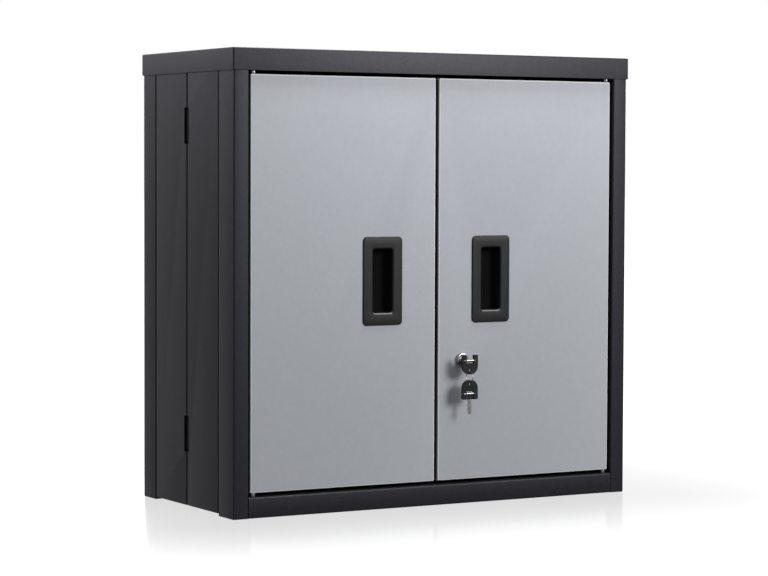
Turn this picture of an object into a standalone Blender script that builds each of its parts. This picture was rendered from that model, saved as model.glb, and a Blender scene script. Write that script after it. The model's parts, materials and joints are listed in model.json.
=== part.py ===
"""A folding two-door steel wall cabinet.

The origin is the middle of the back panel's rear face. +X is to the right as
seen from the front, the doors face -Y, and +Z is up. Lengths are in metres.
Most pieces are bent sheet steel, so they are drawn as a bent strip that is
pushed along its length, or as a stack of rings that is closed at both ends.
"""

import math

import bmesh
import bpy
from mathutils import Matrix, Vector

# ---------------------------------------------------------------- sizes
WIDTH = 0.665
DEPTH = 0.300
HEIGHT = 0.660
SHEET = 0.001
GAP = 0.0003

SIDE = WIDTH / 2
FRONT = -DEPTH
BOTTOM = -HEIGHT / 2
TOP = HEIGHT / 2
BODY_TOP = TOP - SHEET - GAP

COVER_DEPTH = 0.0315
COVER_OVERHANG = 0.0022

STILE_FACE = 0.0235
STILE_RETURN = 0.014
FRAME_RETURN = 0.0483
REAR_RETURN = 0.0424
POST_FLANGE = 0.015
POST_LIP = 0.018
RAIL_HEIGHT = 0.0296
RAIL_SHELF = 0.030
TOP_RAIL_BOTTOM = 0.300

FRONT_SEAM = FRONT + FRAME_RETURN
FRONT_SEAM_GAP = 0.0006
CREASE = -0.1495
CREASE_GAP = 0.002
REAR_SEAM = -REAR_RETURN
REAR_SEAM_GAP = 0.0016
LEAF_BOTTOM = BOTTOM + 0.0035
LEAF_TOP = BODY_TOP - 0.003
CREASE_FLANGE = 0.012

HINGE_Z = 0.2228
HINGE_LENGTH = 0.050
WINDOW_LENGTH = 0.0525
KNUCKLES = 3
SEAM_KNUCKLE_R = 0.003
CREASE_KNUCKLE_R = 0.0034
HINGE_BORE_R = 0.0018
HINGE_PIN_R = 0.0015

SLOT_PITCH = 0.060
SLOTS_EACH_WAY = 4
SLOT_SIZE = (0.0032, 0.010)
SLOT_MIDDLE = -0.018

DOOR_EDGE = 0.003
DOOR_SIDE = 0.3045
DOOR_FACE = FRONT + 0.003
DOOR_BACK = DOOR_FACE + 0.018
DOOR_BOTTOM = BOTTOM + 0.0353
DOOR_TOP = BOTTOM + 0.6235
DOOR_LIP = 0.012
PIVOT_X = 0.299
PIVOT_Y = FRONT + 0.008
PIVOT_R = 0.0025
PIVOT_BORE_R = 0.00265

PULL_X = 0.092
PULL_PLATE = (0.065, 0.128)
PULL_MOUTH = (0.032, 0.092)
PULL_PROUD = 0.002
PULL_DEPTH = 0.0165
PULL_WALL = 0.0015

LOCK_X = 0.0426
LOCK_Z = BOTTOM + 0.212
LOCK_HEAD_R = 0.010
LOCK_BODY_R = 0.008
LOCK_FACE = DOOR_FACE - 0.005
PLUG_R = 0.006
PLUG_BACK = -0.2725
CAM_REACH = 0.050
CAM_WIDTH = 0.014
CAM_SHEET = 0.0015

KEY_PIVOT_Y = FRONT - 0.020
KEY_BLADE_LENGTH = 0.030
KEY_BLADE_SIZE = (0.006, 0.0016)
KEY_BOW = (0.0116, 0.0083)
KEY_HEAD_WIDTH = 0.026
KEY_HEAD_THICK = 0.0044
KEY_PRONG = 0.0083
KEY_HOLE_DROP = 0.0142
KEY_HOLE_R = 0.0022
KEY_EYE_R = 0.0022
KEY_EYE_LENGTH = 0.012
RING_R = 0.009
RING_WIRE_R = 0.0007
RING_SLACK = 0.001

FLOOR_EDGE = 0.311
FLOOR_WING = 0.3295
SHELF_TOP = 0.012
SHELF_FLANGE = 0.018
CLIP_SHEET = 0.0012

# ---------------------------------------------------------------- helpers
for old in list(bpy.data.objects):
    bpy.data.objects.remove(old, do_unlink=True)


def make_material(name, colour, roughness, metallic):
    material = bpy.data.materials.new(name)
    material.use_nodes = True
    shader = material.node_tree.nodes["Principled BSDF"]
    shader.inputs["Base Color"].default_value = (*colour, 1.0)
    shader.inputs["Roughness"].default_value = roughness
    shader.inputs["Metallic"].default_value = metallic
    return material


CHARCOAL = make_material("charcoal_coat", (0.035, 0.034, 0.038), 0.45, 0.0)
LIGHT_GREY = make_material("light_grey_coat", (0.36, 0.38, 0.40), 0.38, 0.0)
BLACK_PLASTIC = make_material("black_plastic", (0.02, 0.02, 0.021), 0.4, 0.0)
CHROME = make_material("chrome", (0.75, 0.75, 0.76), 0.15, 1.0)
ZINC = make_material("zinc", (0.55, 0.55, 0.53), 0.35, 1.0)
NICKEL = make_material("nickel", (0.68, 0.66, 0.60), 0.25, 1.0)
MAGNET = make_material("magnet", (0.08, 0.08, 0.085), 0.5, 0.3)


def finish(name, mesh_builder, material, smooth=False):
    """Turns a bmesh into an object with outward normals."""
    bmesh.ops.recalc_face_normals(mesh_builder, faces=mesh_builder.faces[:])
    mesh = bpy.data.meshes.new(name)
    mesh_builder.to_mesh(mesh)
    mesh_builder.free()
    if material:
        mesh.materials.append(material)
    if smooth:
        mesh.shade_smooth()
        mesh.set_sharp_from_angle(angle=math.radians(35))
    made = bpy.data.objects.new(name, mesh)
    bpy.context.scene.collection.objects.link(made)
    return made


def add_box(builder, low, high):
    low, high = Vector(low), Vector(high)
    place = Matrix.Translation((low + high) / 2) @ Matrix.Diagonal((*(high - low), 1.0))
    bmesh.ops.create_cube(builder, size=1.0, matrix=place)


def add_cylinder(builder, start, end, radius, sides=16):
    start, end = Vector(start), Vector(end)
    turn = (end - start).to_track_quat("Z", "Y").to_matrix().to_4x4()
    bmesh.ops.create_cone(
        builder,
        cap_ends=True,
        segments=sides,
        radius1=radius,
        radius2=radius,
        depth=(end - start).length,
        matrix=Matrix.Translation((start + end) / 2) @ turn,
    )


def box(name, low, high, material):
    builder = bmesh.new()
    add_box(builder, low, high)
    return finish(name, builder, material)


def add_stack(builder, rings):
    """Closed body through rings of equal point counts, capped at both ends."""
    levels = [[builder.verts.new(point) for point in ring] for ring in rings]
    for lower, upper in zip(levels, levels[1:]):
        count = len(lower)
        for i in range(count):
            j = (i + 1) % count
            builder.faces.new((lower[i], lower[j], upper[j], upper[i]))
    builder.faces.new(levels[0][::-1])
    builder.faces.new(levels[-1])


def stack(name, rings, material, smooth=False):
    builder = bmesh.new()
    add_stack(builder, rings)
    return finish(name, builder, material, smooth)


def bent_strip(path, thickness, side=1):
    """Outline of a sheet bent along a path; side 1 puts its metal to the left of the path."""
    points = [Vector(point) for point in path]
    inner = []
    for i, point in enumerate(points):
        normals = []
        for a, b in ((i - 1, i), (i, i + 1)):
            if a >= 0 and b < len(points):
                run = (points[b] - points[a]).normalized()
                normals.append(Vector((-run.y, run.x)) * side)
        offset = normals[0]
        if len(normals) == 2:
            offset = (normals[0] + normals[1]) / (1 + normals[0].dot(normals[1]))
        inner.append(point + offset * thickness)
    return points + inner[::-1]


def add_prism(builder, outline, along, start, end):
    """Pushes a flat outline along x, y or z. The outline holds the other two coordinates in order."""

    def lift(point, height):
        place = [point[0], point[1]]
        place.insert("xyz".index(along), height)
        return place

    add_stack(builder, [[lift(point, height) for point in outline] for height in (start, end)])


def prism(name, outline, along, start, end, material, smooth=False):
    builder = bmesh.new()
    add_prism(builder, outline, along, start, end)
    return finish(name, builder, material, smooth)


def turned(name, profile, centre, axis, material, sides=24):
    """Solid of revolution from a closed profile of (radius, distance along the axis)."""
    builder = bmesh.new()
    points = [Vector((radius, 0.0, height)) for radius, height in profile]
    verts = [builder.verts.new(point) for point in points]
    edges = [builder.edges.new((a, b)) for a, b in zip(verts, verts[1:] + verts[:1])]
    bmesh.ops.spin(
        builder,
        geom=verts + edges,
        cent=(0.0, 0.0, 0.0),
        axis=(0.0, 0.0, 1.0),
        angle=math.tau,
        steps=sides,
        use_merge=True,
    )
    bmesh.ops.remove_doubles(builder, verts=builder.verts[:], dist=0.00001)
    loose = [edge for edge in builder.edges if not edge.link_faces]
    bmesh.ops.delete(builder, geom=loose, context="EDGES")
    turn = Vector(axis).to_track_quat("Z", "Y").to_matrix().to_4x4()
    bmesh.ops.transform(builder, matrix=Matrix.Translation(centre) @ turn, verts=builder.verts[:])
    return finish(name, builder, material, smooth=True)


def rectangle_ring(middle, size, y):
    half_x, half_z = size[0] / 2, size[1] / 2
    corners = ((-half_x, -half_z), (half_x, -half_z), (half_x, half_z), (-half_x, half_z))
    return [(middle[0] + x, y, middle[1] + z) for x, z in corners]


def rounded_ring(middle, size, radius, y, steps=4):
    """Rectangle with round corners, standing at one depth."""
    points = []
    for quarter in range(4):
        across = (size[0] / 2 - radius) * (1 if quarter in (0, 3) else -1)
        up = (size[1] / 2 - radius) * (1 if quarter in (0, 1) else -1)
        for step in range(steps + 1):
            angle = math.pi / 2 * (quarter + step / steps)
            x = middle[0] + across + radius * math.cos(angle)
            z = middle[1] + up + radius * math.sin(angle)
            points.append((x, y, z))
    return points


def tool_body(name, fill):
    """A hidden body that shapes another one. Its parts may be separate."""
    builder = bmesh.new()
    fill(builder)
    made = finish(name, builder, None)
    made.hide_render = True
    made.display_type = "WIRE"
    return made


def shape_with(target, operation, fill):
    name = f"{target.name}_{operation.lower()}_{len(target.modifiers)}"
    modifier = target.modifiers.new(name, "BOOLEAN")
    modifier.operation = operation
    modifier.solver = "EXACT"
    modifier.object = tool_body(name, fill)


def cut(target, fill):
    shape_with(target, "DIFFERENCE", fill)


def join(target, fill):
    shape_with(target, "UNION", fill)


def axis_empty(name, place, parent=None):
    empty = bpy.data.objects.new(name, None)
    empty.empty_display_size = 0.02
    bpy.context.scene.collection.objects.link(empty)
    empty.location = Vector(place)
    if parent:
        empty.parent = parent
        empty.location = Vector(place) - Vector(parent["place"])
    empty["place"] = Vector(place)
    return empty


def hang(empty, *pieces):
    """Parents the pieces to an empty on their joint's axis without moving them."""
    for piece in pieces:
        piece.parent = empty
        piece.location = piece.location - Vector(empty["place"])


def side_name(side):
    return "left" if side < 0 else "right"


# ---------------------------------------------------------------- hinges in the side walls
def knuckle_spans(middle):
    """Heights of the hinge's knuckles, lowest first."""
    pitch = HINGE_LENGTH / KNUCKLES
    low = middle - HINGE_LENGTH / 2
    return [(low + i * pitch + GAP / 2, low + (i + 1) * pitch - GAP / 2) for i in range(KNUCKLES)]


def roll_knuckles(leaf, axes, outer):
    """Rolls knuckles from a leaf's edge. Outer leaves own the end knuckles, the others the middle one."""
    own = 0 if outer else 1

    def rolled(builder):
        for x, y in axes:
            for z in (-HINGE_Z, HINGE_Z):
                for low, high in knuckle_spans(z)[own::2]:
                    add_cylinder(builder, (x, y, low), (x, y, high), SEAM_KNUCKLE_R, 12)

    def cleared(builder):
        for x, y in axes:
            for z in (-HINGE_Z, HINGE_Z):
                for low, high in knuckle_spans(z)[1 - own :: 2]:
                    reach = SEAM_KNUCKLE_R + 0.0004
                    add_cylinder(builder, (x, y, low - GAP), (x, y, high + GAP), reach, 12)

    def bored(builder):
        for x, y in axes:
            for z in (-HINGE_Z, HINGE_Z):
                reach = HINGE_LENGTH / 2 + 0.003
                add_cylinder(builder, (x, y, z - reach), (x, y, z + reach), HINGE_BORE_R, 12)

    cut(leaf, cleared)
    join(leaf, rolled)
    cut(leaf, bored)


def hinge_pin(name, x, y, z):
    reach = HINGE_LENGTH / 2 + 0.001
    profile = [(0, -reach), (HINGE_PIN_R, -reach), (HINGE_PIN_R, reach), (0, reach)]
    return turned(name, profile, (x, y, z), (0, 0, 1), CHARCOAL, sides=12)


def front_seam_axis(side):
    return side * (SIDE - POST_FLANGE - 0.0015), FRONT_SEAM + FRONT_SEAM_GAP / 2


def rear_seam_axis(side):
    return side * (SIDE - POST_FLANGE - 0.0015), REAR_SEAM - REAR_SEAM_GAP / 2


# ---------------------------------------------------------------- back panel
def post_slots(builder, side, y):
    for step in range(-SLOTS_EACH_WAY, SLOTS_EACH_WAY + 1):
        z = SLOT_MIDDLE + step * SLOT_PITCH
        x = side * (SIDE - POST_FLANGE)
        half_y, half_z = SLOT_SIZE[0] / 2, SLOT_SIZE[1] / 2
        add_box(builder, (x - 0.002, y - half_y, z - half_z), (x + 0.002, y + half_y, z + half_z))


FRONT_SLOT_Y = FRONT_SEAM - 0.0105
REAR_SLOT_Y = REAR_SEAM + 0.0095
POST_X = SIDE - POST_FLANGE

back_path = [(-POST_X, REAR_SEAM + POST_LIP), (-POST_X, REAR_SEAM), (-SIDE, REAR_SEAM), (-SIDE, 0)]
back_path += [(-x, y) for x, y in reversed(back_path)]
back_panel = prism("back_panel", bent_strip(back_path, SHEET, -1), "z", BOTTOM, BODY_TOP, CHARCOAL)


def back_flanges(builder):
    edge = SIDE - SHEET + 0.0003
    for low in (BOTTOM, BODY_TOP - SHEET):
        add_box(builder, (-edge, -0.0205, low), (edge, -0.0004, low + SHEET))


def back_holes(builder):
    for side in (-1, 1):
        post_slots(builder, side, REAR_SLOT_Y)
        x = side * 0.225
        add_cylinder(builder, (x, -0.004, -0.27), (x, 0.003, -0.27), 0.0033, 20)
        add_cylinder(builder, (x, -0.004, 0.265), (x, 0.003, 0.265), 0.0052, 20)
        add_cylinder(builder, (side * 0.30, -0.012, 0.32), (side * 0.30, -0.012, 0.335), 0.0021, 12)


def keyhole_necks(builder):
    for side in (-1, 1):
        x = side * 0.225
        add_box(builder, (x - 0.0026, -0.004, 0.266), (x + 0.0026, 0.003, 0.2765))


join(back_panel, back_flanges)
cut(back_panel, back_holes)
cut(back_panel, keyhole_necks)
roll_knuckles(back_panel, [rear_seam_axis(-1), rear_seam_axis(1)], outer=True)

# ---------------------------------------------------------------- front frame
for side in (-1, 1):
    inner = SIDE - STILE_FACE
    path = [(inner, FRONT + STILE_RETURN), (inner, FRONT), (SIDE, FRONT), (SIDE, FRONT_SEAM)]
    path += [(POST_X, FRONT_SEAM), (POST_X, FRONT_SEAM - POST_LIP)]
    outline = bent_strip([(side * x, y) for x, y in path], SHEET, side)
    stile = prism(f"{side_name(side)}_stile", outline, "z", BOTTOM, BODY_TOP, CHARCOAL)
    cut(stile, lambda builder, side=side: post_slots(builder, side, FRONT_SLOT_Y))
    roll_knuckles(stile, [front_seam_axis(side)], outer=True)

RAIL_END = SIDE - STILE_FACE - GAP
RAIL_TOP = BOTTOM + RAIL_HEIGHT
rail_path = [(FRONT + RAIL_SHELF, BOTTOM), (FRONT, BOTTOM), (FRONT, RAIL_TOP)]
rail_path += [(FRONT + 0.022, RAIL_TOP), (FRONT + 0.022, RAIL_TOP - 0.009)]
bottom_rail = prism("bottom_rail", bent_strip(rail_path, SHEET, -1), "x", -RAIL_END, RAIL_END, CHARCOAL)

top_path = [(FRONT + 0.038, TOP_RAIL_BOTTOM), (FRONT, TOP_RAIL_BOTTOM)]
top_path += [(FRONT, BODY_TOP), (FRONT + 0.022, BODY_TOP)]
top_rail = prism("top_rail", bent_strip(top_path, SHEET, -1), "x", -RAIL_END, RAIL_END, CHARCOAL)


def pivot_holes(level):
    def fill(builder):
        for side in (-1, 1):
            x = side * PIVOT_X
            reach = 0.003
            low, high = (x, PIVOT_Y, level - reach), (x, PIVOT_Y, level + reach)
            add_cylinder(builder, low, high, PIVOT_R + GAP, 16)

    return fill


cut(bottom_rail, pivot_holes(RAIL_TOP - SHEET / 2))
cut(top_rail, pivot_holes(TOP_RAIL_BOTTOM + SHEET / 2))

# ---------------------------------------------------------------- side leaves
CREASE_FRONT = CREASE - CREASE_GAP / 2
CREASE_REAR = CREASE + CREASE_GAP / 2
CREASE_AXIS_X = SIDE - CREASE_KNUCKLE_R - 0.0001


def crease_windows(builder):
    """Openings in the fold line that leave room for the hinge barrels."""
    for side in (-1, 1):
        for z in (-HINGE_Z, HINGE_Z):
            near, far = sorted((side * (SIDE - 0.008), side * (SIDE + 0.002)))
            low = (near, CREASE - 0.0055, z - WINDOW_LENGTH / 2)
            high = (far, CREASE + 0.009, z + WINDOW_LENGTH / 2)
            add_box(builder, low, high)


for side in (-1, 1):
    front_edge = FRONT_SEAM + FRONT_SEAM_GAP
    rear_edge = REAR_SEAM - REAR_SEAM_GAP
    front_path = [(POST_X, front_edge), (SIDE, front_edge)]
    front_path += [(SIDE, CREASE_FRONT), (SIDE - CREASE_FLANGE, CREASE_FRONT)]
    rear_path = [(SIDE - CREASE_FLANGE, CREASE_REAR), (SIDE, CREASE_REAR)]
    rear_path += [(SIDE, rear_edge), (POST_X, rear_edge)]
    for where, path, axis in (
        ("front", front_path, front_seam_axis(side)),
        ("rear", rear_path, rear_seam_axis(side)),
    ):
        outline = bent_strip([(side * x, y) for x, y in path], SHEET, side)
        leaf_name = f"{side_name(side)}_{where}_leaf"
        leaf = prism(leaf_name, outline, "z", LEAF_BOTTOM, LEAF_TOP, CHARCOAL)
        cut(leaf, crease_windows)
        roll_knuckles(leaf, [axis], outer=False)


def crease_hinge(side, height_name, z):
    """Butt hinge whose barrel lies in the window, with a plate on each leaf's flange."""
    label = f"{side_name(side)}_{height_name}_crease"
    x, reach = side * CREASE_AXIS_X, HINGE_LENGTH / 2
    for where, direction, own in (("front", -1, 0), ("rear", 1, 1)):
        skin = CREASE + direction * (CREASE_GAP / 2 + SHEET + GAP)
        far = skin + direction * 0.0012
        low_y, high_y = min(skin, far), max(skin, far)
        low_x, high_x = sorted((side * (SIDE - 0.0205), x))
        spans = knuckle_spans(z)
        plate_name = f"{label}_hinge_{where}_plate"
        plate = box(plate_name, (low_x, low_y, z - reach), (high_x, high_y, z + reach), CHARCOAL)

        def knuckles(builder, spans=spans[own::2]):
            for low, high in spans:
                add_cylinder(builder, (x, CREASE, low), (x, CREASE, high), CREASE_KNUCKLE_R, 16)

        def clearances(builder, spans=spans[1 - own :: 2]):
            for low, high in spans:
                reach_r = CREASE_KNUCKLE_R + 0.0004
                add_cylinder(builder, (x, CREASE, low - GAP), (x, CREASE, high + GAP), reach_r, 16)

        def bore(builder):
            add_cylinder(builder, (x, CREASE, z - 0.03), (x, CREASE, z + 0.03), HINGE_BORE_R, 12)

        cut(plate, clearances)
        join(plate, knuckles)
        cut(plate, bore)
    hinge_pin(f"{label}_hinge_pin", x, CREASE, z)


for side in (-1, 1):
    for height_name, z in (("lower", -HINGE_Z), ("upper", HINGE_Z)):
        crease_hinge(side, height_name, z)
        hinge_pin(f"{side_name(side)}_{height_name}_front_seam_pin", *front_seam_axis(side), z)
        hinge_pin(f"{side_name(side)}_{height_name}_rear_seam_pin", *rear_seam_axis(side), z)

# ---------------------------------------------------------------- top cover
over = COVER_OVERHANG
cover_low = (-SIDE - over, FRONT - over, TOP - COVER_DEPTH)
top_cover = box("top_cover", cover_low, (SIDE + over, 0, TOP), CHARCOAL)
SCREW_PLACE = (0.30, -0.012)


def cover_hollow(builder):
    inside = SIDE + over - SHEET
    low = (-inside, FRONT - over + SHEET, TOP - COVER_DEPTH - 0.01)
    add_box(builder, low, (inside, 0.01, TOP - SHEET))


def cover_holes(builder):
    for side in (-1, 1):
        x, y = side * SCREW_PLACE[0], SCREW_PLACE[1]
        add_cylinder(builder, (x, y, TOP - 0.004), (x, y, TOP + 0.004), 0.0021, 12)


cut(top_cover, cover_hollow)
cut(top_cover, cover_holes)
for side in (-1, 1):
    flange = BODY_TOP - SHEET
    profile = [(0, flange - 0.0023), (0.0034, flange - 0.0023), (0.004, flange - 0.0016)]
    profile += [(0.004, flange - GAP), (0.0018, flange - GAP), (0.0018, TOP - GAP), (0, TOP - GAP)]
    place = (side * SCREW_PLACE[0], SCREW_PLACE[1], 0)
    turned(f"{side_name(side)}_cover_screw", profile, place, (0, 0, 1), ZINC, sides=16)


# ---------------------------------------------------------------- floor panel and shelf
def tray(name, top, flange, front, rear, material):
    """Flat panel with its four edges turned down, and side wings between the wall flanges."""
    outer = (2 * FLOOR_EDGE, rear - front)
    inner = (outer[0] - 2 * SHEET, outer[1] - 2 * SHEET)
    middle = (front + rear) / 2

    def ring(size, z):
        half_x, half_y = size[0] / 2, size[1] / 2
        corners = ((-half_x, -half_y), (half_x, -half_y), (half_x, half_y), (-half_x, half_y))
        return [(x, middle + y, z) for x, y in corners]

    rings = [ring(outer, top), ring(outer, top - flange)]
    rings += [ring(inner, top - flange), ring(inner, top - SHEET)]
    made = stack(name, rings, material)

    def wings(builder):
        for side in (-1, 1):
            near, far = sorted((side * (FLOOR_EDGE - SHEET / 2), side * FLOOR_WING))
            for low_y, high_y in ((-0.243, -0.160), (-0.139, -0.052)):
                add_box(builder, (near, low_y, top - SHEET), (far, high_y, top))

    join(made, wings)
    return made


floor_panel = tray("floor_panel", RAIL_TOP, RAIL_HEIGHT - SHEET - GAP, -0.2775, -SHEET - GAP, CHARCOAL)
shelf = tray("shelf", SHELF_TOP, SHELF_FLANGE, -0.272, -0.003, CHARCOAL)
shelf_axis = axis_empty("shelf_axis", (0, -0.137, SHELF_TOP))
hang(shelf_axis, shelf)

CLIP_TOP = SHELF_TOP - SHELF_FLANGE - GAP
for side in (-1, 1):
    for where, y in (("front", FRONT_SLOT_Y), ("rear", REAR_SLOT_Y)):
        wall = POST_X - GAP
        plate = wall - CLIP_SHEET
        outline = [(0.298, CLIP_TOP), (wall, CLIP_TOP), (wall, CLIP_TOP - 0.026), (plate, CLIP_TOP - 0.026)]
        outline += [(plate, CLIP_TOP - CLIP_SHEET), (0.298, CLIP_TOP - CLIP_SHEET)]
        outline = [(side * x, z) for x, z in outline]
        clip_name = f"{side_name(side)}_{where}_shelf_clip"
        clip = prism(clip_name, outline, "y", y - 0.006, y + 0.006, ZINC)

        def hook(builder, side=side, y=y, wall=wall):
            sill = SLOT_MIDDLE - SLOT_SIZE[1] / 2 + GAP
            back = POST_X + SHEET + GAP
            far = back + CLIP_SHEET
            bend = [(wall - CLIP_SHEET / 2, sill), (back, sill), (back, sill - 0.004), (far, sill - 0.004)]
            bend += [(far, sill + 0.002), (wall - CLIP_SHEET / 2, sill + 0.002)]
            bend = [(side * x, z) for x, z in bend]
            add_prism(builder, bend, "y", y - 0.0012, y + 0.0012)

        join(clip, hook)

# ---------------------------------------------------------------- door catch
catch_low = (-0.026, -0.2775, TOP_RAIL_BOTTOM - GAP - 0.021)
catch_housing = box("catch_housing", catch_low, (0.026, -0.2635, TOP_RAIL_BOTTOM - GAP), BLACK_PLASTIC)
magnet_low = (-0.022, DOOR_BACK + 0.0005, 0.283)
catch_magnet = box("catch_magnet", magnet_low, (0.022, -0.2775 - GAP, 0.291), MAGNET)


# ---------------------------------------------------------------- doors
def pivot_pin(name, side, flange_low, door_edge, up):
    """Shoulder stud riveted through a rail's flange, with the door turning on its nose."""
    flange_high = flange_low + SHEET
    near, far = (flange_high, flange_low) if up else (flange_low, flange_high)
    sign = 1 if up else -1
    profile = [(0, far - sign * 0.0018), (0.0042, far - sign * 0.0018), (0.0042, far - sign * GAP)]
    profile += [(PIVOT_R, far - sign * GAP), (PIVOT_R, near + sign * GAP), (0.004, near + sign * GAP)]
    profile += [(0.004, door_edge - sign * GAP), (PIVOT_R, door_edge - sign * GAP)]
    profile += [(PIVOT_R, door_edge + sign * 0.0042), (0, door_edge + sign * 0.0042)]
    return turned(name, profile, (side * PIVOT_X, PIVOT_Y, 0), (0, 0, 1), CHROME, sides=16)


def door(side):
    name = f"{side_name(side)}_door"
    middle = (side * (DOOR_EDGE + DOOR_SIDE) / 2, (DOOR_TOP + DOOR_BOTTOM) / 2)
    size = (DOOR_SIDE - DOOR_EDGE, DOOR_TOP - DOOR_BOTTOM)
    hollow = (size[0] - 2 * SHEET, size[1] - 2 * SHEET)
    mouth = (size[0] - 2 * DOOR_LIP, size[1] - 2 * DOOR_LIP)
    rings = [
        rectangle_ring(middle, size, DOOR_FACE),
        rectangle_ring(middle, size, DOOR_BACK),
        rectangle_ring(middle, mouth, DOOR_BACK),
        rectangle_ring(middle, mouth, DOOR_BACK - SHEET),
        rectangle_ring(middle, hollow, DOOR_BACK - SHEET),
        rectangle_ring(middle, hollow, DOOR_FACE + SHEET),
    ]
    made = stack(name, rings, LIGHT_GREY)

    def openings(builder):
        x = side * PULL_X
        half_x, half_z = PULL_MOUTH[0] / 2 + PULL_WALL + 0.0005, PULL_MOUTH[1] / 2 + PULL_WALL + 0.0005
        add_box(builder, (x - half_x, DOOR_FACE - 0.002, -half_z), (x + half_x, DOOR_FACE + 0.004, half_z))
        x = side * PIVOT_X
        for z in (DOOR_BOTTOM, DOOR_TOP):
            add_cylinder(builder, (x, PIVOT_Y, z - 0.003), (x, PIVOT_Y, z + 0.003), PIVOT_BORE_R, 16)
        if side > 0:
            face = (LOCK_X, DOOR_FACE - 0.002, LOCK_Z)
            add_cylinder(builder, face, (LOCK_X, DOOR_FACE + 0.004, LOCK_Z), LOCK_BODY_R + GAP, 24)

    cut(made, openings)
    return made


def pull(side):
    """Recessed pull: a plate on the door's face round a closed cup."""
    middle = (side * PULL_X, 0)
    cup = (PULL_MOUTH[0] + 2 * PULL_WALL, PULL_MOUTH[1] + 2 * PULL_WALL)
    plate_back, plate_front = DOOR_FACE - GAP, DOOR_FACE - PULL_PROUD
    brow = (PULL_PLATE[0] - 0.0016, PULL_PLATE[1] - 0.0016)
    floor = plate_front + PULL_DEPTH
    rings = [
        rounded_ring(middle, cup, 0.0045, floor + PULL_WALL),
        rounded_ring(middle, cup, 0.0045, plate_back),
        rounded_ring(middle, PULL_PLATE, 0.0065, plate_back),
        rounded_ring(middle, PULL_PLATE, 0.0065, plate_front + 0.0008),
        rounded_ring(middle, brow, 0.0057, plate_front),
        rounded_ring(middle, PULL_MOUTH, 0.0035, plate_front),
        rounded_ring(middle, (PULL_MOUTH[0] - 0.002, PULL_MOUTH[1] - 0.002), 0.003, floor),
    ]
    return stack(f"{side_name(side)}_pull", rings, BLACK_PLASTIC, smooth=True)


door_axes = {}
for side in (-1, 1):
    leaf = door(side)
    handle = pull(side)
    empty = axis_empty(f"{side_name(side)}_door_axis", (side * PIVOT_X, PIVOT_Y, 0))
    door_axes[side] = empty
    hang(empty, leaf, handle)
    pivot_pin(f"{side_name(side)}_door_bottom_pin", side, RAIL_TOP - SHEET, DOOR_BOTTOM, up=True)
    pivot_pin(f"{side_name(side)}_door_top_pin", side, TOP_RAIL_BOTTOM, DOOR_TOP, up=False)

# ---------------------------------------------------------------- cam lock
LOCK_PLACE = (LOCK_X, 0, LOCK_Z)
BEHIND = (0, 1, 0)
HOUSING_BACK = PLUG_BACK - 0.002
BORE_R = PLUG_R + 0.0001
profile = [(BORE_R, LOCK_FACE + 0.0004), (LOCK_HEAD_R - 0.0008, LOCK_FACE)]
profile += [(LOCK_HEAD_R, LOCK_FACE + 0.0008)]
profile += [(LOCK_HEAD_R, DOOR_FACE - GAP), (LOCK_BODY_R, DOOR_FACE - GAP)]
profile += [(LOCK_BODY_R, HOUSING_BACK), (BORE_R, HOUSING_BACK)]
lock_housing = turned("lock_housing", profile, LOCK_PLACE, BEHIND, CHROME)

nut_front = DOOR_FACE + SHEET + GAP
hexagon = [(0.0118 * math.cos(i * math.pi / 3), 0.0118 * math.sin(i * math.pi / 3)) for i in range(6)]
hexagon = [(LOCK_X + x, LOCK_Z + z) for x, z in hexagon]
lock_nut = prism("lock_nut", hexagon, "y", nut_front, nut_front + 0.004, ZINC)


def nut_bore(builder):
    start = (LOCK_X, nut_front - 0.002, LOCK_Z)
    add_cylinder(builder, start, (LOCK_X, nut_front + 0.006, LOCK_Z), LOCK_BODY_R + GAP, 24)


cut(lock_nut, nut_bore)

PLUG_FACE = LOCK_FACE + 0.0006
profile = [(0, PLUG_FACE), (PLUG_R, PLUG_FACE), (PLUG_R, PLUG_BACK), (0, PLUG_BACK)]
lock_plug = turned("lock_plug", profile, LOCK_PLACE, BEHIND, CHROME)
KEY_TIP = KEY_PIVOT_Y + KEY_BLADE_LENGTH


def key_way(builder):
    half_x, half_z = KEY_BLADE_SIZE[0] / 2 + GAP, KEY_BLADE_SIZE[1] / 2 + GAP
    low = (LOCK_X - half_x, PLUG_FACE - 0.004, LOCK_Z - half_z)
    add_box(builder, low, (LOCK_X + half_x, KEY_TIP + 0.001, LOCK_Z + half_z))
    tapped = (LOCK_X, PLUG_BACK - 0.008, LOCK_Z)
    add_cylinder(builder, tapped, (LOCK_X, PLUG_BACK + 0.002, LOCK_Z), 0.0023, 12)


cut(lock_plug, key_way)

cam_front = PLUG_BACK + GAP
cam_tip = DOOR_BACK + 0.0005
path = [(cam_front, LOCK_Z + 0.008), (cam_front, LOCK_Z - 0.016)]
path += [(cam_tip, LOCK_Z - 0.024), (cam_tip, LOCK_Z - CAM_REACH)]
cam_outline = bent_strip(path, CAM_SHEET, 1)
half = CAM_WIDTH / 2
lock_cam = prism("lock_cam", cam_outline, "x", LOCK_X - half, LOCK_X + half, ZINC)


def cam_hole(builder):
    start = (LOCK_X, cam_front - 0.003, LOCK_Z)
    add_cylinder(builder, start, (LOCK_X, cam_front + 0.004, LOCK_Z), 0.0023, 12)


cut(lock_cam, cam_hole)
cam_back = cam_front + CAM_SHEET
profile = [(0, PLUG_BACK - 0.006), (0.002, PLUG_BACK - 0.006), (0.002, cam_back + GAP)]
profile += [(0.004, cam_back + GAP), (0.004, cam_back + 0.0018)]
profile += [(0.003, cam_back + 0.0024), (0, cam_back + 0.0024)]
cam_screw = turned("cam_screw", profile, LOCK_PLACE, BEHIND, ZINC, sides=16)

hang(door_axes[1], lock_housing, lock_nut)
lock_axis = axis_empty("lock_axis", (LOCK_X, LOCK_FACE, LOCK_Z), door_axes[1])
hang(lock_axis, lock_plug, lock_cam, cam_screw)


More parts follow.
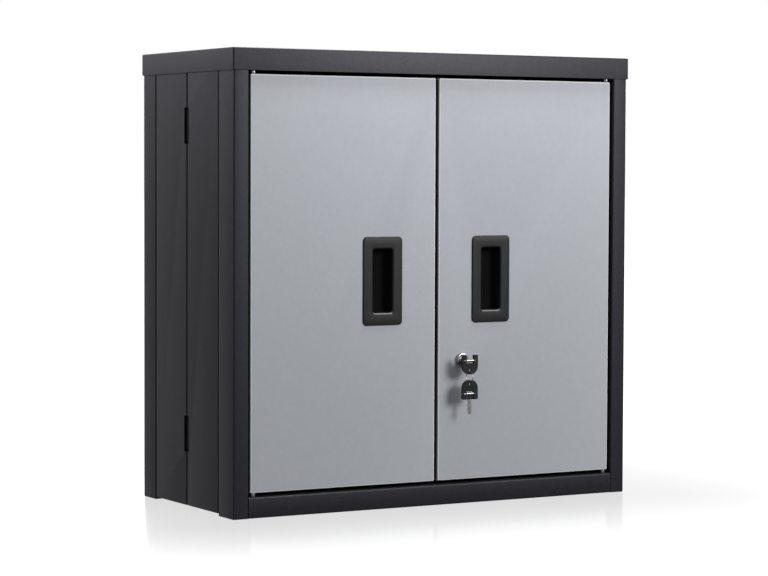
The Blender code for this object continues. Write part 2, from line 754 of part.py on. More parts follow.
# ---------------------------------------------------------------- keys
def head_outline(pivot_z, up):
    """Shield with two prongs; up is 1 when the prongs point up."""
    half, notch = KEY_HEAD_WIDTH / 2, KEY_EYE_LENGTH / 2 + GAP
    points = [(notch, KEY_PRONG), (half - 0.001, KEY_PRONG), (half, KEY_PRONG - 0.0012), (half, -0.012)]
    for step in range(1, 12):
        angle = math.pi * step / 12
        points.append((half * math.cos(angle), -0.012 - 0.0081 * math.sin(angle)))
    points += [(-half, -0.012), (-half, KEY_PRONG - 0.0012), (-half + 0.001, KEY_PRONG), (-notch, KEY_PRONG)]
    points += [(-notch, -0.0034), (notch, -0.0034)]
    return [(LOCK_X + x, pivot_z + up * z) for x, z in points]


def key(prefix, pivot_z, up, blade_along):
    """Folding key. Its blade turns on a pin across the head's prongs."""
    half = KEY_HEAD_THICK / 2
    outline = head_outline(pivot_z, up)
    head = prism(f"{prefix}_head", outline, "y", KEY_PIVOT_Y - half, KEY_PIVOT_Y + half, BLACK_PLASTIC)

    def head_holes(builder):
        hole_z = pivot_z - up * KEY_HOLE_DROP
        low, high = (LOCK_X, KEY_PIVOT_Y - 0.005, hole_z), (LOCK_X, KEY_PIVOT_Y + 0.005, hole_z)
        add_cylinder(builder, low, high, KEY_HOLE_R, 16)
        reach = KEY_HEAD_WIDTH / 2 + 0.002
        ends = [(LOCK_X + x, KEY_PIVOT_Y, pivot_z) for x in (-reach, reach)]
        add_cylinder(builder, *ends, 0.00125, 12)

    cut(head, head_holes)
    reach = KEY_HEAD_WIDTH / 2 - 0.0002
    profile = [(0, -reach), (0.001, -reach), (0.001, reach), (0, reach)]
    pin = turned(f"{prefix}_pin", profile, (LOCK_X, KEY_PIVOT_Y, pivot_z), (1, 0, 0), NICKEL, sides=12)

    reach = KEY_EYE_LENGTH / 2
    profile = [(0.0012, -reach), (KEY_EYE_R, -reach), (KEY_EYE_R, reach), (0.0012, reach)]
    blade = turned(f"{prefix}_blade", profile, (LOCK_X, KEY_PIVOT_Y, pivot_z), (1, 0, 0), NICKEL, sides=16)
    wide, thick = KEY_BLADE_SIZE[0] / 2, KEY_BLADE_SIZE[1] / 2
    near, tip = 0.0017, KEY_BLADE_LENGTH

    def blade_body(builder):
        """The bow fills the space between the prongs, and the narrower blade goes on from it."""
        bow, step = KEY_BOW[0] / 2, KEY_BOW[1]
        shape = [(-bow, near), (bow, near), (bow, step), (wide, step), (wide, tip)]
        shape += [(-wide, tip), (-wide, step), (-bow, step)]
        if blade_along == "y":
            outline = [(LOCK_X + x, KEY_PIVOT_Y + far) for x, far in shape]
            add_prism(builder, outline, "z", pivot_z - thick, pivot_z + thick)
        else:
            outline = [(LOCK_X + x, pivot_z - far) for x, far in shape]
            add_prism(builder, outline, "y", KEY_PIVOT_Y - thick, KEY_PIVOT_Y + thick)

    join(blade, blade_body)
    return head, pin, blade


HOLE_1_Z = LOCK_Z - KEY_HOLE_DROP
RING_Z = HOLE_1_Z - RING_SLACK - RING_R
HOLE_2_Z = RING_Z - RING_R - RING_SLACK
SPARE_PIVOT_Z = HOLE_2_Z - KEY_HOLE_DROP

key_head, key_pin, key_blade = key("key", LOCK_Z, 1, "y")
spare_head, spare_pin, spare_blade = key("spare_key", SPARE_PIVOT_Z, -1, "z")

builder = bmesh.new()
at_rim = Matrix.Translation((RING_R, 0, 0)) @ Matrix.Rotation(math.pi / 2, 4, "X")
bmesh.ops.create_circle(builder, cap_ends=False, segments=8, radius=RING_WIRE_R, matrix=at_rim)
bmesh.ops.spin(
    builder,
    geom=builder.verts[:] + builder.edges[:],
    cent=(0, 0, 0),
    axis=(0, 0, 1),
    angle=math.tau,
    steps=32,
    use_merge=True,
)
stand_up = Matrix.Translation((LOCK_X, KEY_PIVOT_Y, RING_Z)) @ Matrix.Rotation(math.pi / 2, 4, "Y")
bmesh.ops.transform(builder, matrix=stand_up, verts=builder.verts[:])
key_ring = finish("key_ring", builder, NICKEL, smooth=True)

slide_axis = axis_empty("key_slide_axis", (LOCK_X, KEY_PIVOT_Y, LOCK_Z), lock_axis)
hang(slide_axis, key_blade)
fold_axis = axis_empty("key_fold_axis", (LOCK_X, KEY_PIVOT_Y, LOCK_Z), slide_axis)
hang(fold_axis, key_head, key_pin)
ring_axis = axis_empty("ring_axis", (LOCK_X, KEY_PIVOT_Y, HOLE_1_Z), fold_axis)
hang(ring_axis, key_ring)
spare_axis = axis_empty("spare_axis", (LOCK_X, KEY_PIVOT_Y, HOLE_2_Z), ring_axis)
hang(spare_axis, spare_head, spare_pin)
spare_fold_axis = axis_empty("spare_fold_axis", (LOCK_X, KEY_PIVOT_Y, SPARE_PIVOT_Z), spare_axis)
hang(spare_fold_axis, spare_blade)

key_axes = [slide_axis, fold_axis, ring_axis, spare_axis, spare_fold_axis]
for empty in (shelf_axis, *door_axes.values(), lock_axis, *key_axes):
    print(empty.name, [round(value, 5) for value in empty["place"]])
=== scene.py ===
# %% [markdown]
# # A folding steel wall cabinet
# This notebook dresses a finished model of a two-door steel cabinet. The model
# brings its solids and its joints. Here each visible piece is shaped again with
# true bends, soft edges and a finish, and rides on the body it belongs to.
# Lengths are in metres. +X is to the right as seen from the front, the doors
# face -Y, and +Z is up. The origin is the middle of the rear face.

import json
import math

import bmesh
import bpy
from mathutils import Matrix, Vector

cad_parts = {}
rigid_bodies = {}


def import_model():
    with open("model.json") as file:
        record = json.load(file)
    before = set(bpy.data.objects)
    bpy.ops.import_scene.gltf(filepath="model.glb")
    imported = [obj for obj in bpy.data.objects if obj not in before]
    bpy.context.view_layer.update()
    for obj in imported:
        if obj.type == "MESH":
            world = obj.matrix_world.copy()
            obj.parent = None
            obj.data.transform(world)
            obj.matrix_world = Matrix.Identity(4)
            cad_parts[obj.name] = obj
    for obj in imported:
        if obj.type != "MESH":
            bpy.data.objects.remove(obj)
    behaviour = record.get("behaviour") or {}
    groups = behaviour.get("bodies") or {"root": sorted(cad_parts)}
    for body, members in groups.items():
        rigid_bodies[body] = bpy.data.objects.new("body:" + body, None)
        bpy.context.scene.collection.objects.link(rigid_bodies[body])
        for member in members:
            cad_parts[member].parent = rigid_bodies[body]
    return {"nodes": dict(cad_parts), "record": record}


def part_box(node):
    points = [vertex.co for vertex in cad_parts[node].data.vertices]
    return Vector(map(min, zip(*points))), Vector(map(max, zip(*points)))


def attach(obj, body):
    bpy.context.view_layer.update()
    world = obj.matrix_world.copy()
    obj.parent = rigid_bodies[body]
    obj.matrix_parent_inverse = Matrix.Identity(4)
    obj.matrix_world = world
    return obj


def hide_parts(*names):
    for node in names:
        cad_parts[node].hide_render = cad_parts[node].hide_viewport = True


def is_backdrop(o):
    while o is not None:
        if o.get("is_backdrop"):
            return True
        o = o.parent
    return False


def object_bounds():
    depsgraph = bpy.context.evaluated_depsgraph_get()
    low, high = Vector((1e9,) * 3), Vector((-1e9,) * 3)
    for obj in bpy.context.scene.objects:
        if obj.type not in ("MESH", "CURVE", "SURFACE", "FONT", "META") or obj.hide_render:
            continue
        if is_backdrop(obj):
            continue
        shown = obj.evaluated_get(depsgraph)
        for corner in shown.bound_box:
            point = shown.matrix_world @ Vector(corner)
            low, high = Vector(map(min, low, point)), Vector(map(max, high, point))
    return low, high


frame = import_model()
CAD_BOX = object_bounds()

# %% [markdown]
# ## Camera
# A long lens keeps the uprights almost parallel, as catalogue pictures of
# furniture do. The camera is placed by where it looks, from which side and from
# how far, because those numbers are easier to reason about than a rotation.

# %% Camera
LOOK_AT = Vector((-0.00438, -0.150, -0.0181))
CAMERA_SIDE, CAMERA_HEIGHT, CAMERA_ROLL = math.radians(-29.987), math.radians(2.730), math.radians(0.222)
CAMERA_DISTANCE = 3.841
LENS_MM = 119.37

across = Vector((math.cos(CAMERA_SIDE), math.sin(CAMERA_SIDE), 0))
toward = Vector((
    math.sin(CAMERA_SIDE) * math.cos(CAMERA_HEIGHT),
    -math.cos(CAMERA_SIDE) * math.cos(CAMERA_HEIGHT),
    math.sin(CAMERA_HEIGHT),
))
upward = toward.cross(across)
rolled_across = across * math.cos(CAMERA_ROLL) + upward * math.sin(CAMERA_ROLL)
rolled_upward = toward.cross(rolled_across)
turn = Matrix((rolled_across, rolled_upward, toward)).transposed().to_4x4()
camera_data = bpy.data.cameras.new("camera")
camera_data.lens = LENS_MM
camera = bpy.data.objects.new("camera", camera_data)
bpy.context.scene.collection.objects.link(camera)
camera.matrix_world = Matrix.Translation(LOOK_AT + toward * CAMERA_DISTANCE) @ turn
bpy.context.scene.camera = camera
bpy.context.scene.view_settings.view_transform = "Standard"
print("camera at", [round(value, 3) for value in camera.location])

# %% [markdown]
# ## Light
# The key is a soft box in front, to the right and a little above: it models the
# doors and throws the soft shadows of the keys. A large top light brightens the
# cover, and a light behind the left side gives the dark wall its sheen. Lights
# behind and to the right show the sides that the camera doesn't see. The room
# itself stays dim so that the bends keep dark edges. `add_node` is used for every
# node from here on.


# %% Lights
def soft_box(name, place, target, size, watts, tint=(1.0, 1.0, 1.0)):
    lamp = bpy.data.lights.new(name, "AREA")
    lamp.shape = "RECTANGLE"
    lamp.size, lamp.size_y = size
    lamp.energy = watts
    lamp.color = tint
    made = bpy.data.objects.new(name, lamp)
    bpy.context.scene.collection.objects.link(made)
    made.location = place
    made.rotation_euler = (Vector(target) - Vector(place)).to_track_quat("-Z", "Y").to_euler()
    made.visible_camera = False
    return made


soft_box("key_light", (1.36, -2.85, 0.98), (0.0, -0.30, 0.0), (1.1, 1.1), 65)
soft_box("right_light", (2.35, -2.40, 1.15), (0.2, -0.30, 0.1), (1.0, 1.0), 12)
soft_box("top_light", (0.25, -0.10, 2.0), (0.15, -0.10, 0.0), (1.4, 1.1), 90)
soft_box("side_light", (-1.45, 1.40, 1.0), (-0.33, -0.30, 0.1), (1.2, 1.3), 11, (0.97, 0.95, 1.05))
soft_box("left_fill", (-2.3, -2.0, 0.9), (-0.33, -0.20, 0.0), (1.6, 1.6), 9)
soft_box("rear_light", (0.9, 3.4, 1.1), (0.0, 0.0, 0.0), (2.4, 1.8), 90)
soft_box("right_wall_light", (3.0, 1.3, 0.9), (0.33, -0.15, 0.0), (1.6, 1.6), 70)


def add_node(tree, kind, *sources, **numbers):
    """Sources, links or plain values, feed the first sockets. Numbers set sockets by name."""
    made = tree.nodes.new(f"ShaderNode{kind}")
    for source, socket in zip(sources, made.inputs):
        if isinstance(source, bpy.types.NodeSocket):
            tree.links.new(source, socket)
        else:
            socket.default_value = source
    for socket, number in numbers.items():
        made.inputs[socket].default_value = number
    return made


world = bpy.data.worlds.new("studio")
bpy.context.scene.world = world
world.use_nodes = True
sky = world.node_tree
sky.nodes.clear()
room = add_node(sky, "Background", (0.165, 0.163, 0.172, 1.0)).outputs[0]
backdrop = add_node(sky, "Background", (1.0, 1.0, 1.0, 1.0)).outputs[0]
camera_ray = add_node(sky, "LightPath").outputs["Is Camera Ray"]
choose = add_node(sky, "MixShader", camera_ray, room, backdrop)
add_node(sky, "OutputWorld", choose.outputs[0])

# %% [markdown]
# ## Finishes
# A finish is a small graph of nodes. Patterns read Object coordinates, so they
# keep their real size in metres on every piece. `Finish` wraps a material with
# short calls for the nodes that all the finishes share: a noise, a ramp between
# two values, a bump, and a mask for the bends.


# %% A wrapper for finishes
class Finish:
    def __init__(self, name, roughness, metallic=0.0):
        self.material = bpy.data.materials.new(name)
        self.material.use_nodes = True
        self.tree = self.material.node_tree
        self.shader = self.tree.nodes["Principled BSDF"]
        self.shader.inputs["Roughness"].default_value = roughness
        self.shader.inputs["Metallic"].default_value = metallic
        self.place = self.tree.nodes.new("ShaderNodeTexCoord").outputs["Object"]

    def link(self, source, target):
        self.tree.links.new(source, target)

    def node(self, kind, *sources, **numbers):
        return add_node(self.tree, kind, *sources, **numbers)

    def stretched(self, scale):
        return self.node("Mapping", self.place, Scale=scale).outputs["Vector"]

    def noise(self, scale, detail=2.0, rough=0.5, place=None):
        node = self.node("TexNoise", place or self.place, Scale=scale, Detail=detail, Roughness=rough)
        return node.outputs["Fac"]

    def cells(self, scale, output="Distance"):
        return self.node("TexVoronoi", self.place, Scale=scale).outputs[output]

    def depth(self, axis="Y"):
        """How far back a point lies, along Y, or how high, along Z."""
        return self.node("SeparateXYZ", self.place).outputs[axis]

    def total(self, first, second, operation="ADD"):
        node = self.node("Math", first, second)
        node.operation = operation
        return node.outputs[0]

    def ranged(self, value, low, high, start=0.0, end=1.0):
        return self.node("MapRange", value, start, end, low, high).outputs["Result"]

    def blend(self, factor, first, second):
        node = self.node("Mix", factor)
        node.data_type = "RGBA"
        for socket, colour in ((node.inputs[6], first), (node.inputs[7], second)):
            if isinstance(colour, tuple):
                socket.default_value = (*colour, 1.0)
            else:
                self.link(colour, socket)
        return node.outputs[2]

    def facing(self):
        """How squarely a face looks along X, Y and Z. A bend looks squarely along none of them."""
        size = self.node("VectorMath", self.node("TexCoord").outputs["Normal"])
        size.operation = "ABSOLUTE"
        return self.node("SeparateXYZ", size.outputs[0]).outputs

    def bends(self, gain):
        x, y, z = self.facing()
        squarest = self.total(self.total(x, y, "MAXIMUM"), z, "MAXIMUM")
        return self.ranged(squarest, gain, 0.0, 0.93, 0.9995)

    def bump(self, *layers):
        normal = None
        for height, distance, strength in layers:
            node = self.node("Bump", Distance=distance, Strength=strength)
            self.link(height, node.inputs["Height"])
            if normal:
                self.link(normal, node.inputs["Normal"])
            normal = node.outputs["Normal"]
        self.link(normal, self.shader.inputs["Normal"])

    def drive(self, socket, value):
        self.link(value, self.shader.inputs[socket])


# %% [markdown]
# ### Powder coats
# Powder coat is plastic melted onto steel. The carcass has a fine-texture coat:
# tiny grains under a millimetre across, broad faint mottling, and a paler colour
# along the bends, which is a painted highlight. The doors have a smoother satin
# coat with a shallow orange peel. Their side edges are painted darker with depth,
# as painted shade in the narrow gap between the doors. Dust settles on the faces
# that look up and dulls them. The bends are found by comparing a face's own normal
# with the three axes. The small hinges have a black, duller coat of their own,
# painted darker still as shade in the windows where they sit.


# %% Powder coats
def powder_coat(name, dark, light, edge, gap_shade_colour, grain, peel, roughness, gloss, bend_highlight_gain):
    coat = Finish(name, roughness)
    coat.shader.inputs["Specular IOR Level"].default_value = gloss
    coat.shader.inputs["Specular Tint"].default_value = (0.98, 0.96, 1.08, 1.0)
    mottle = coat.noise(140, detail=3.0, rough=0.6)
    grains = coat.noise(grain, detail=3.0, rough=0.65)
    colour = coat.blend(coat.ranged(mottle, 0.0, 1.0, 0.3, 0.7), dark, light)
    sides = coat.ranged(coat.facing()[0], 0.0, 1.0, 0.5, 0.9)
    # Painted shade: faces that look along X go darker with depth, in the gap between the doors.
    gap_shade_mask = coat.total(sides, coat.ranged(coat.depth(), 0.0, 1.0, -0.2966, -0.2925), "MULTIPLY")
    colour = coat.blend(gap_shade_mask, colour, gap_shade_colour) if gap_shade_colour else colour
    # Painted highlight: the bends take the paler edge colour.
    coat.drive("Base Color", coat.blend(coat.bends(bend_highlight_gain), colour, edge))
    dusty = coat.ranged(coat.facing()[2], 0.0, 0.36, 0.85, 0.99)
    rough = coat.ranged(grains, roughness - 0.07, roughness + 0.07, 0.3, 0.7)
    coat.drive("Roughness", coat.total(rough, dusty))
    coat.bump((coat.noise(peel[0], detail=2.0), peel[1], peel[2]), (grains, 0.00012, 0.5))
    return coat.material


# Each coat's edge colour is a painted highlight along the bends.
CHARCOAL = powder_coat(
    "fine_texture_charcoal", (0.0105, 0.0099, 0.0122), (0.0150, 0.0142, 0.0170), (0.022, 0.021, 0.024), None,
    grain=1500, peel=(330, 0.0004, 0.30), roughness=0.42, gloss=0.235, bend_highlight_gain=0.5,
)
# Painted shade: the hinge coat is black, and darker still so the hinges read as shade in the fold's windows.
HINGE_BLACK_AND_SHADE = powder_coat(
    "hinge_black_and_shade", (0.0030, 0.0030, 0.0034), (0.0045, 0.0045, 0.0050), (0.006, 0.006, 0.0065), None,
    grain=1500, peel=(330, 0.0004, 0.30), roughness=0.60, gloss=0.10, bend_highlight_gain=0.3,
)
LIGHT_GREY = powder_coat(
    "satin_light_grey", (0.370, 0.388, 0.411), (0.388, 0.407, 0.431),
    edge=(0.88, 0.89, 0.90), gap_shade_colour=(0.055, 0.058, 0.062),
    grain=2200, peel=(420, 0.0002, 0.12), roughness=0.50, gloss=0.30, bend_highlight_gain=0.85,
)
print("coats:", CHARCOAL.name, LIGHT_GREY.name)

# %% [markdown]
# ### Moulded plastic and plated metals
# The pulls and key heads are black plastic with a spark-eroded grain. It is
# rubbed glossy on the edges that face up. The pulls' lower lips are painted pale
# where they face up: a painted highlight. Deep inside the pulls it is coarse, and
# painted darkest there as shade in the recess. Chrome on the lock has faint wipe
# marks that only change its roughness. Nickel on the keys is warmer and brushed
# along its length. Zinc plate has a fine crystalline mottle, and the magnet is
# dull sintered ferrite.

# %% Plastic, plates and ferrite
plastic = Finish("grained_black_plastic", 0.40)
plastic.shader.inputs["Specular IOR Level"].default_value = 0.26
grain = plastic.cells(1300)
shade = plastic.noise(260, detail=3.0)
shade = plastic.ranged(shade, 0, 1, 0.3, 0.7)
skin = plastic.blend(shade, (0.0050, 0.0050, 0.0055), (0.0085, 0.0085, 0.0092))
# Painted shade: deeper into the pull's cup the colour goes nearly black.
recess_shade = plastic.ranged(plastic.depth(), 0.0, 1.0, -0.2972, -0.2925)
skin = plastic.blend(recess_shade, skin, (0.0006, 0.0006, 0.0007))
# Painted highlight: the upward faces of the pulls' lower lips, at the mouth, go pale.
lip = plastic.ranged(plastic.facing()[2], 0.0, 1.0, 0.30, 0.60)
for part in (
    plastic.ranged(plastic.depth(), 1.0, 0.0, -0.2978, -0.2972),
    plastic.ranged(plastic.depth("Z"), 0.0, 1.0, -0.0500, -0.0490),
    plastic.ranged(plastic.depth("Z"), 1.0, 0.0, -0.0400, -0.0300),
):
    lip = plastic.total(lip, part, "MULTIPLY")
plastic.drive("Base Color", plastic.blend(lip, skin, (0.24, 0.24, 0.25)))
rubbed = plastic.ranged(plastic.facing()[2], 0.0, -0.22, 0.30, 0.55)
inside = plastic.ranged(plastic.depth(), 0.0, 0.60, -0.2972, -0.2945)
plastic.drive("Roughness", plastic.total(plastic.ranged(grain, 0.34, 0.50), plastic.total(rubbed, inside)))
plastic.bump((grain, 0.00010, 0.35))
BLACK_PLASTIC = plastic.material


def plated(name, dull, bright, roughness, brush, spread=0.06):
    plate = Finish(name, roughness, metallic=1.0)
    streaks = plate.noise(900, detail=3.0, place=plate.stretched(brush))
    smudge = plate.noise(120, detail=2.0)
    plate.drive("Base Color", plate.blend(plate.ranged(smudge, 0, 1, 0.3, 0.7), dull, bright))
    plate.drive("Roughness", plate.ranged(streaks, roughness - spread, roughness + spread, 0.3, 0.7))
    plate.bump((streaks, 0.00004, 0.25))
    return plate.material


CHROME = plated("lock_chrome", (0.32, 0.32, 0.33), (0.42, 0.42, 0.43), 0.30, (1.0, 1.0, 0.25))
NICKEL = plated("key_nickel", (0.30, 0.30, 0.29), (0.40, 0.40, 0.38), 0.34, (1.0, 1.0, 0.08))

zinc = Finish("bright_zinc", 0.36, metallic=1.0)
crystals = zinc.cells(420, output="Color")
zinc.drive("Base Color", zinc.blend(zinc.ranged(crystals, 0, 1), (0.46, 0.47, 0.46), (0.60, 0.60, 0.57)))
zinc.drive("Roughness", zinc.ranged(zinc.noise(700, detail=3.0), 0.28, 0.44, 0.3, 0.7))
zinc.bump((crystals, 0.00003, 0.3))
ZINC = zinc.material

ferrite = Finish("ferrite_bar", 0.55, metallic=0.25)
speckle = ferrite.noise(2400, detail=4.0)
shade = ferrite.ranged(speckle, 0, 1, 0.35, 0.65)
ferrite.drive("Base Color", ferrite.blend(shade, (0.035, 0.035, 0.038), (0.075, 0.075, 0.08)))
ferrite.bump((speckle, 0.0001, 0.4))
MAGNET = ferrite.material

SLOT_FINISH = {
    "charcoal_coat": CHARCOAL, "light_grey_coat": LIGHT_GREY, "black_plastic": BLACK_PLASTIC,
    "chrome": CHROME, "nickel": NICKEL, "zinc_plate": ZINC, "magnet": MAGNET,
}
print("finishes:", sorted(SLOT_FINISH))

# %% [markdown]
# ## Floor
# A wide, pale floor with a little gloss, so that the cabinet stands on a faint
# reflection of itself. A tall white card far behind is what the floor mirrors
# elsewhere. It reaches below the floor, which reflections pass through, so that
# the foot of the dark side wall gets the same even sheen as its top.

# %% Floor
FLOOR_LEVEL = CAD_BOX[0].z


def stage_material(name, glow, gloss, roughness, fade=None):
    """fade holds the middle and half size of a box, round which the gloss dies away."""
    made = bpy.data.materials.new(name)
    made.use_nodes = True
    tree = made.node_tree
    tree.nodes.clear()
    share = gloss
    if fade:
        reach = add_node(tree, "TexCoord").outputs["Object"]
        steps = (("SUBTRACT", fade[0]), ("ABSOLUTE", ()), ("SUBTRACT", fade[1]), ("MAXIMUM", (0, 0, 0)))
        for operation, amount in steps:
            step = add_node(tree, "VectorMath", reach, *([amount] if amount else []))
            step.operation = operation
            reach = step.outputs[0]
        far = add_node(tree, "VectorMath", reach)
        far.operation = "LENGTH"
        ease = add_node(tree, "MapRange", far.outputs["Value"], 0.0, 0.7, gloss, 0.0)
        ease.interpolation_type = "SMOOTHSTEP"
        share = ease.outputs[0]
    lit = add_node(tree, "Emission", Strength=glow).outputs[0]
    shine = add_node(tree, "BsdfGlossy", Roughness=roughness).outputs[0]
    both = add_node(tree, "MixShader", share, lit, shine)
    add_node(tree, "OutputMaterial", both.outputs[0])
    return made


def stage_plane(name, size, matrix, material):
    builder = bmesh.new()
    bmesh.ops.create_grid(builder, x_segments=1, y_segments=1, size=size, matrix=matrix)
    mesh = bpy.data.meshes.new(name)
    builder.to_mesh(mesh)
    builder.free()
    mesh.materials.append(material)
    made = bpy.data.objects.new(name, mesh)
    bpy.context.scene.collection.objects.link(made)
    made.visible_diffuse = False
    made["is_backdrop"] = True
    return made


half_size = (CAD_BOX[1] - CAD_BOX[0]) / 2
middle = (CAD_BOX[1] + CAD_BOX[0]) / 2
near_cabinet = ((middle.x, middle.y, FLOOR_LEVEL), (half_size.x - 0.02, half_size.y - 0.02, 0.01))
floor_place = Matrix.Translation((0, 0, FLOOR_LEVEL))
floor_finish = stage_material("studio_floor", 1.30, 0.46, 0.14, near_cabinet)
floor = stage_plane("studio_floor", 30.0, floor_place, floor_finish)
floor.visible_glossy = False
upright = Matrix.Rotation(math.pi / 2, 4, "X") @ Matrix.Diagonal((2.4, 1, 1, 1))
card_place = Matrix.Translation((0, 9.0, FLOOR_LEVEL + 2.0)) @ upright
card = stage_plane("white_card", 6.0, card_place, stage_material("white_card", 0.50, 0.0, 1.0))
card.visible_camera = False
print("floor at", round(FLOOR_LEVEL, 4))

# %% [markdown]
# ## Workshop helpers
# A piece starts as a bmesh that a small function fills. Sheet metal starts as a
# thin skin: a Solidify modifier gives it its gauge, Booleans punch and join, and
# a narrow Bevel breaks the cut edges. Everything but that last bevel is applied,
# and the mesh is merged, so each piece ends as one clean closed body.

# %% Helpers for making a piece
SHEET = 0.001
BEND = 0.0020
scene_objects = bpy.context.scene.collection.objects


def fresh_object(name, fill):
    builder = bmesh.new()
    fill(builder)
    bmesh.ops.remove_doubles(builder, verts=builder.verts[:], dist=1e-6)
    bmesh.ops.recalc_face_normals(builder, faces=builder.faces[:])
    mesh = bpy.data.meshes.new(name)
    builder.to_mesh(mesh)
    builder.free()
    made = bpy.data.objects.new(name, mesh)
    scene_objects.link(made)
    return made


def round_corners(builder, corners, radius, segments, clamp=False):
    bmesh.ops.bevel(
        builder, geom=corners, offset=radius, offset_type="OFFSET", segments=segments,
        profile=0.5, affect="VERTICES", material=-1, clamp_overlap=clamp,
    )


def round_edges(builder, edges, width, segments):
    bmesh.ops.bevel(
        builder, geom=edges, offset=width, segments=segments, profile=0.5, affect="EDGES", material=-1,
    )


def push_out(builder, pushed, shift):
    """Moves what an extrude has just made."""
    moved = [item for item in pushed["geom"] if isinstance(item, bmesh.types.BMVert)]
    bmesh.ops.translate(builder, vec=shift, verts=moved)


def upright_rectangle(builder, middle, size):
    """One face in a plane of X and Z. Returns its corners."""
    stand = Matrix.Rotation(math.pi / 2, 4, "X") @ Matrix.Diagonal((*size, 1.0, 1.0))
    return bmesh.ops.create_grid(
        builder, x_segments=1, y_segments=1, size=0.5, matrix=Matrix.Translation(middle) @ stand,
    )["verts"]


def apply_all(piece):
    """Applies the modifiers and merges what they left double."""
    graph = bpy.context.evaluated_depsgraph_get()
    mesh = bpy.data.meshes.new_from_object(piece.evaluated_get(graph))
    piece.modifiers.clear()
    piece.data = mesh
    builder = bmesh.new()
    builder.from_mesh(mesh)
    bmesh.ops.remove_doubles(builder, verts=builder.verts[:], dist=2e-6)
    bmesh.ops.dissolve_degenerate(builder, dist=1e-6, edges=builder.edges[:])
    builder.to_mesh(mesh)
    builder.free()


def thicken(piece, gauge=SHEET, inward=-1.0):
    modifier = piece.modifiers.new("gauge", "SOLIDIFY")
    modifier.thickness = gauge
    modifier.offset = inward
    modifier.use_even_offset = True
    apply_all(piece)


def shape_with(piece, operation, fill):
    helper = fresh_object("helper", fill)
    modifier = piece.modifiers.new("shape", "BOOLEAN")
    modifier.operation = operation
    modifier.solver = "EXACT"
    modifier.object = helper
    apply_all(piece)
    bpy.data.objects.remove(helper, do_unlink=True)


def break_edges(piece, width, segments=2, angle=50):
    modifier = piece.modifiers.new("broken_edges", "BEVEL")
    modifier.width = width
    modifier.segments = segments
    modifier.limit_method = "ANGLE"
    modifier.angle_limit = math.radians(angle)
    modifier.harden_normals = True


def deliver(piece, body, slot, nodes, edge=0.00022, segments=2, angle=50, finish=None):
    """Shades the piece, gives it its finish and sets it on its body in place of the plain solids."""
    piece.data.materials.clear()
    piece.data.materials.append(finish or SLOT_FINISH[slot])
    piece.data.shade_smooth()
    piece.data.set_sharp_from_angle(angle=math.radians(32))
    if edge:
        break_edges(piece, edge, segments, angle)
    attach(piece, body)
    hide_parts(*nodes)
    low, high = (Vector(corner) for corner in (piece.bound_box[0], piece.bound_box[6]))
    print(f"{piece.name}: {len(piece.data.polygons)} faces, mm:", [round(v * 1000, 1) for v in high - low])
    return piece


# %% [markdown]
# ### Bars, boxes and bends
# `add_bar` and `add_block` start from bmesh's own cone and cube. `bent_skin`
# draws a flat path, rounds its corners with a vertex bevel as a press brake
# would, and extrudes it along the third axis.


# %% Shapes to start from
def add_block(builder, low, high):
    low, high = Vector(low), Vector(high)
    place = Matrix.Translation((low + high) / 2) @ Matrix.Diagonal((*(high - low), 1.0))
    return bmesh.ops.create_cube(builder, size=1.0, matrix=place)["verts"]


def add_bar(builder, start, end, radius, sides=32, end_radius=None):
    start, end = Vector(start), Vector(end)
    spin = (end - start).to_track_quat("Z", "Y").to_matrix().to_4x4()
    return bmesh.ops.create_cone(
        builder, cap_ends=True, segments=sides, radius1=radius, radius2=end_radius or radius,
        depth=(end - start).length, matrix=Matrix.Translation((start + end) / 2) @ spin,
    )["verts"]


def bent_skin(path, along, start, end, bend=BEND, steps=5):
    """Bends a path, given as the other two coordinates, and pushes it along x, y or z."""
    axis = "xyz".index(along)

    def fill(builder):
        corners = []
        for pair in path:
            place = list(pair)
            place.insert(axis, start)
            corners.append(builder.verts.new(place))
        for first, second in zip(corners, corners[1:]):
            builder.edges.new((first, second))
        round_corners(builder, corners[1:-1], bend, steps)
        shift = Vector()
        shift[axis] = end - start
        push_out(builder, bmesh.ops.extrude_edge_only(builder, edges=builder.edges[:]), shift)

    return fill


def sheet_piece(name, path, along, start, end, inward=-1.0):
    """A bent strip of sheet. The path runs along its outer face."""
    piece = fresh_object(name, bent_skin(path, along, start, end))
    thicken(piece, inward=inward)
    return piece


test = fresh_object("test", bent_skin([(0, 0), (0.01, 0), (0.01, 0.02)], "z", 0, 0.05))
print("bent test strip:", len(test.data.vertices), "corners")
bpy.data.objects.remove(test, do_unlink=True)

# %% [markdown]
# ## Front frame and side walls
# Two stiles, two rails and four wall leaves are strips folded from 1 mm steel.
# The stiles and the back panel end in lips with a column of slots for the shelf
# clips. Where leaves meet their neighbours, knuckles rolled from the sheets' own
# edges interlock on a pin: the outer strip owns the end knuckles, the leaf owns
# the middle one.

# %% Sizes read from the frame
stile_low, stile_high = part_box("left_stile")
leaf_low, leaf_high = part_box("left_front_leaf")
rail_low, rail_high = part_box("bottom_rail")
top_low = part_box("top_rail")[0]

SIDE = -stile_low.x
FRONT = stile_low.y
BOTTOM, BODY_TOP = stile_low.z, stile_high.z
FRONT_SEAM = FRONT + 0.0483
REAR_SEAM = -0.0424
CREASE = -0.1495
POST_X = SIDE - 0.015
POST_LIP = 0.018
SEAM_X = POST_X - 0.0015
FRONT_SEAM_AXIS = FRONT_SEAM + 0.0003
REAR_SEAM_AXIS = REAR_SEAM - 0.0008
HINGE_HEIGHTS = (-0.2228, 0.2228)
HINGE_LENGTH = 0.050
GAP = 0.0003
SIDES = (("left", -1), ("right", 1))
print("body in mm:", [round(v * 1000, 1) for v in (2 * SIDE, -FRONT, BODY_TOP - BOTTOM)])


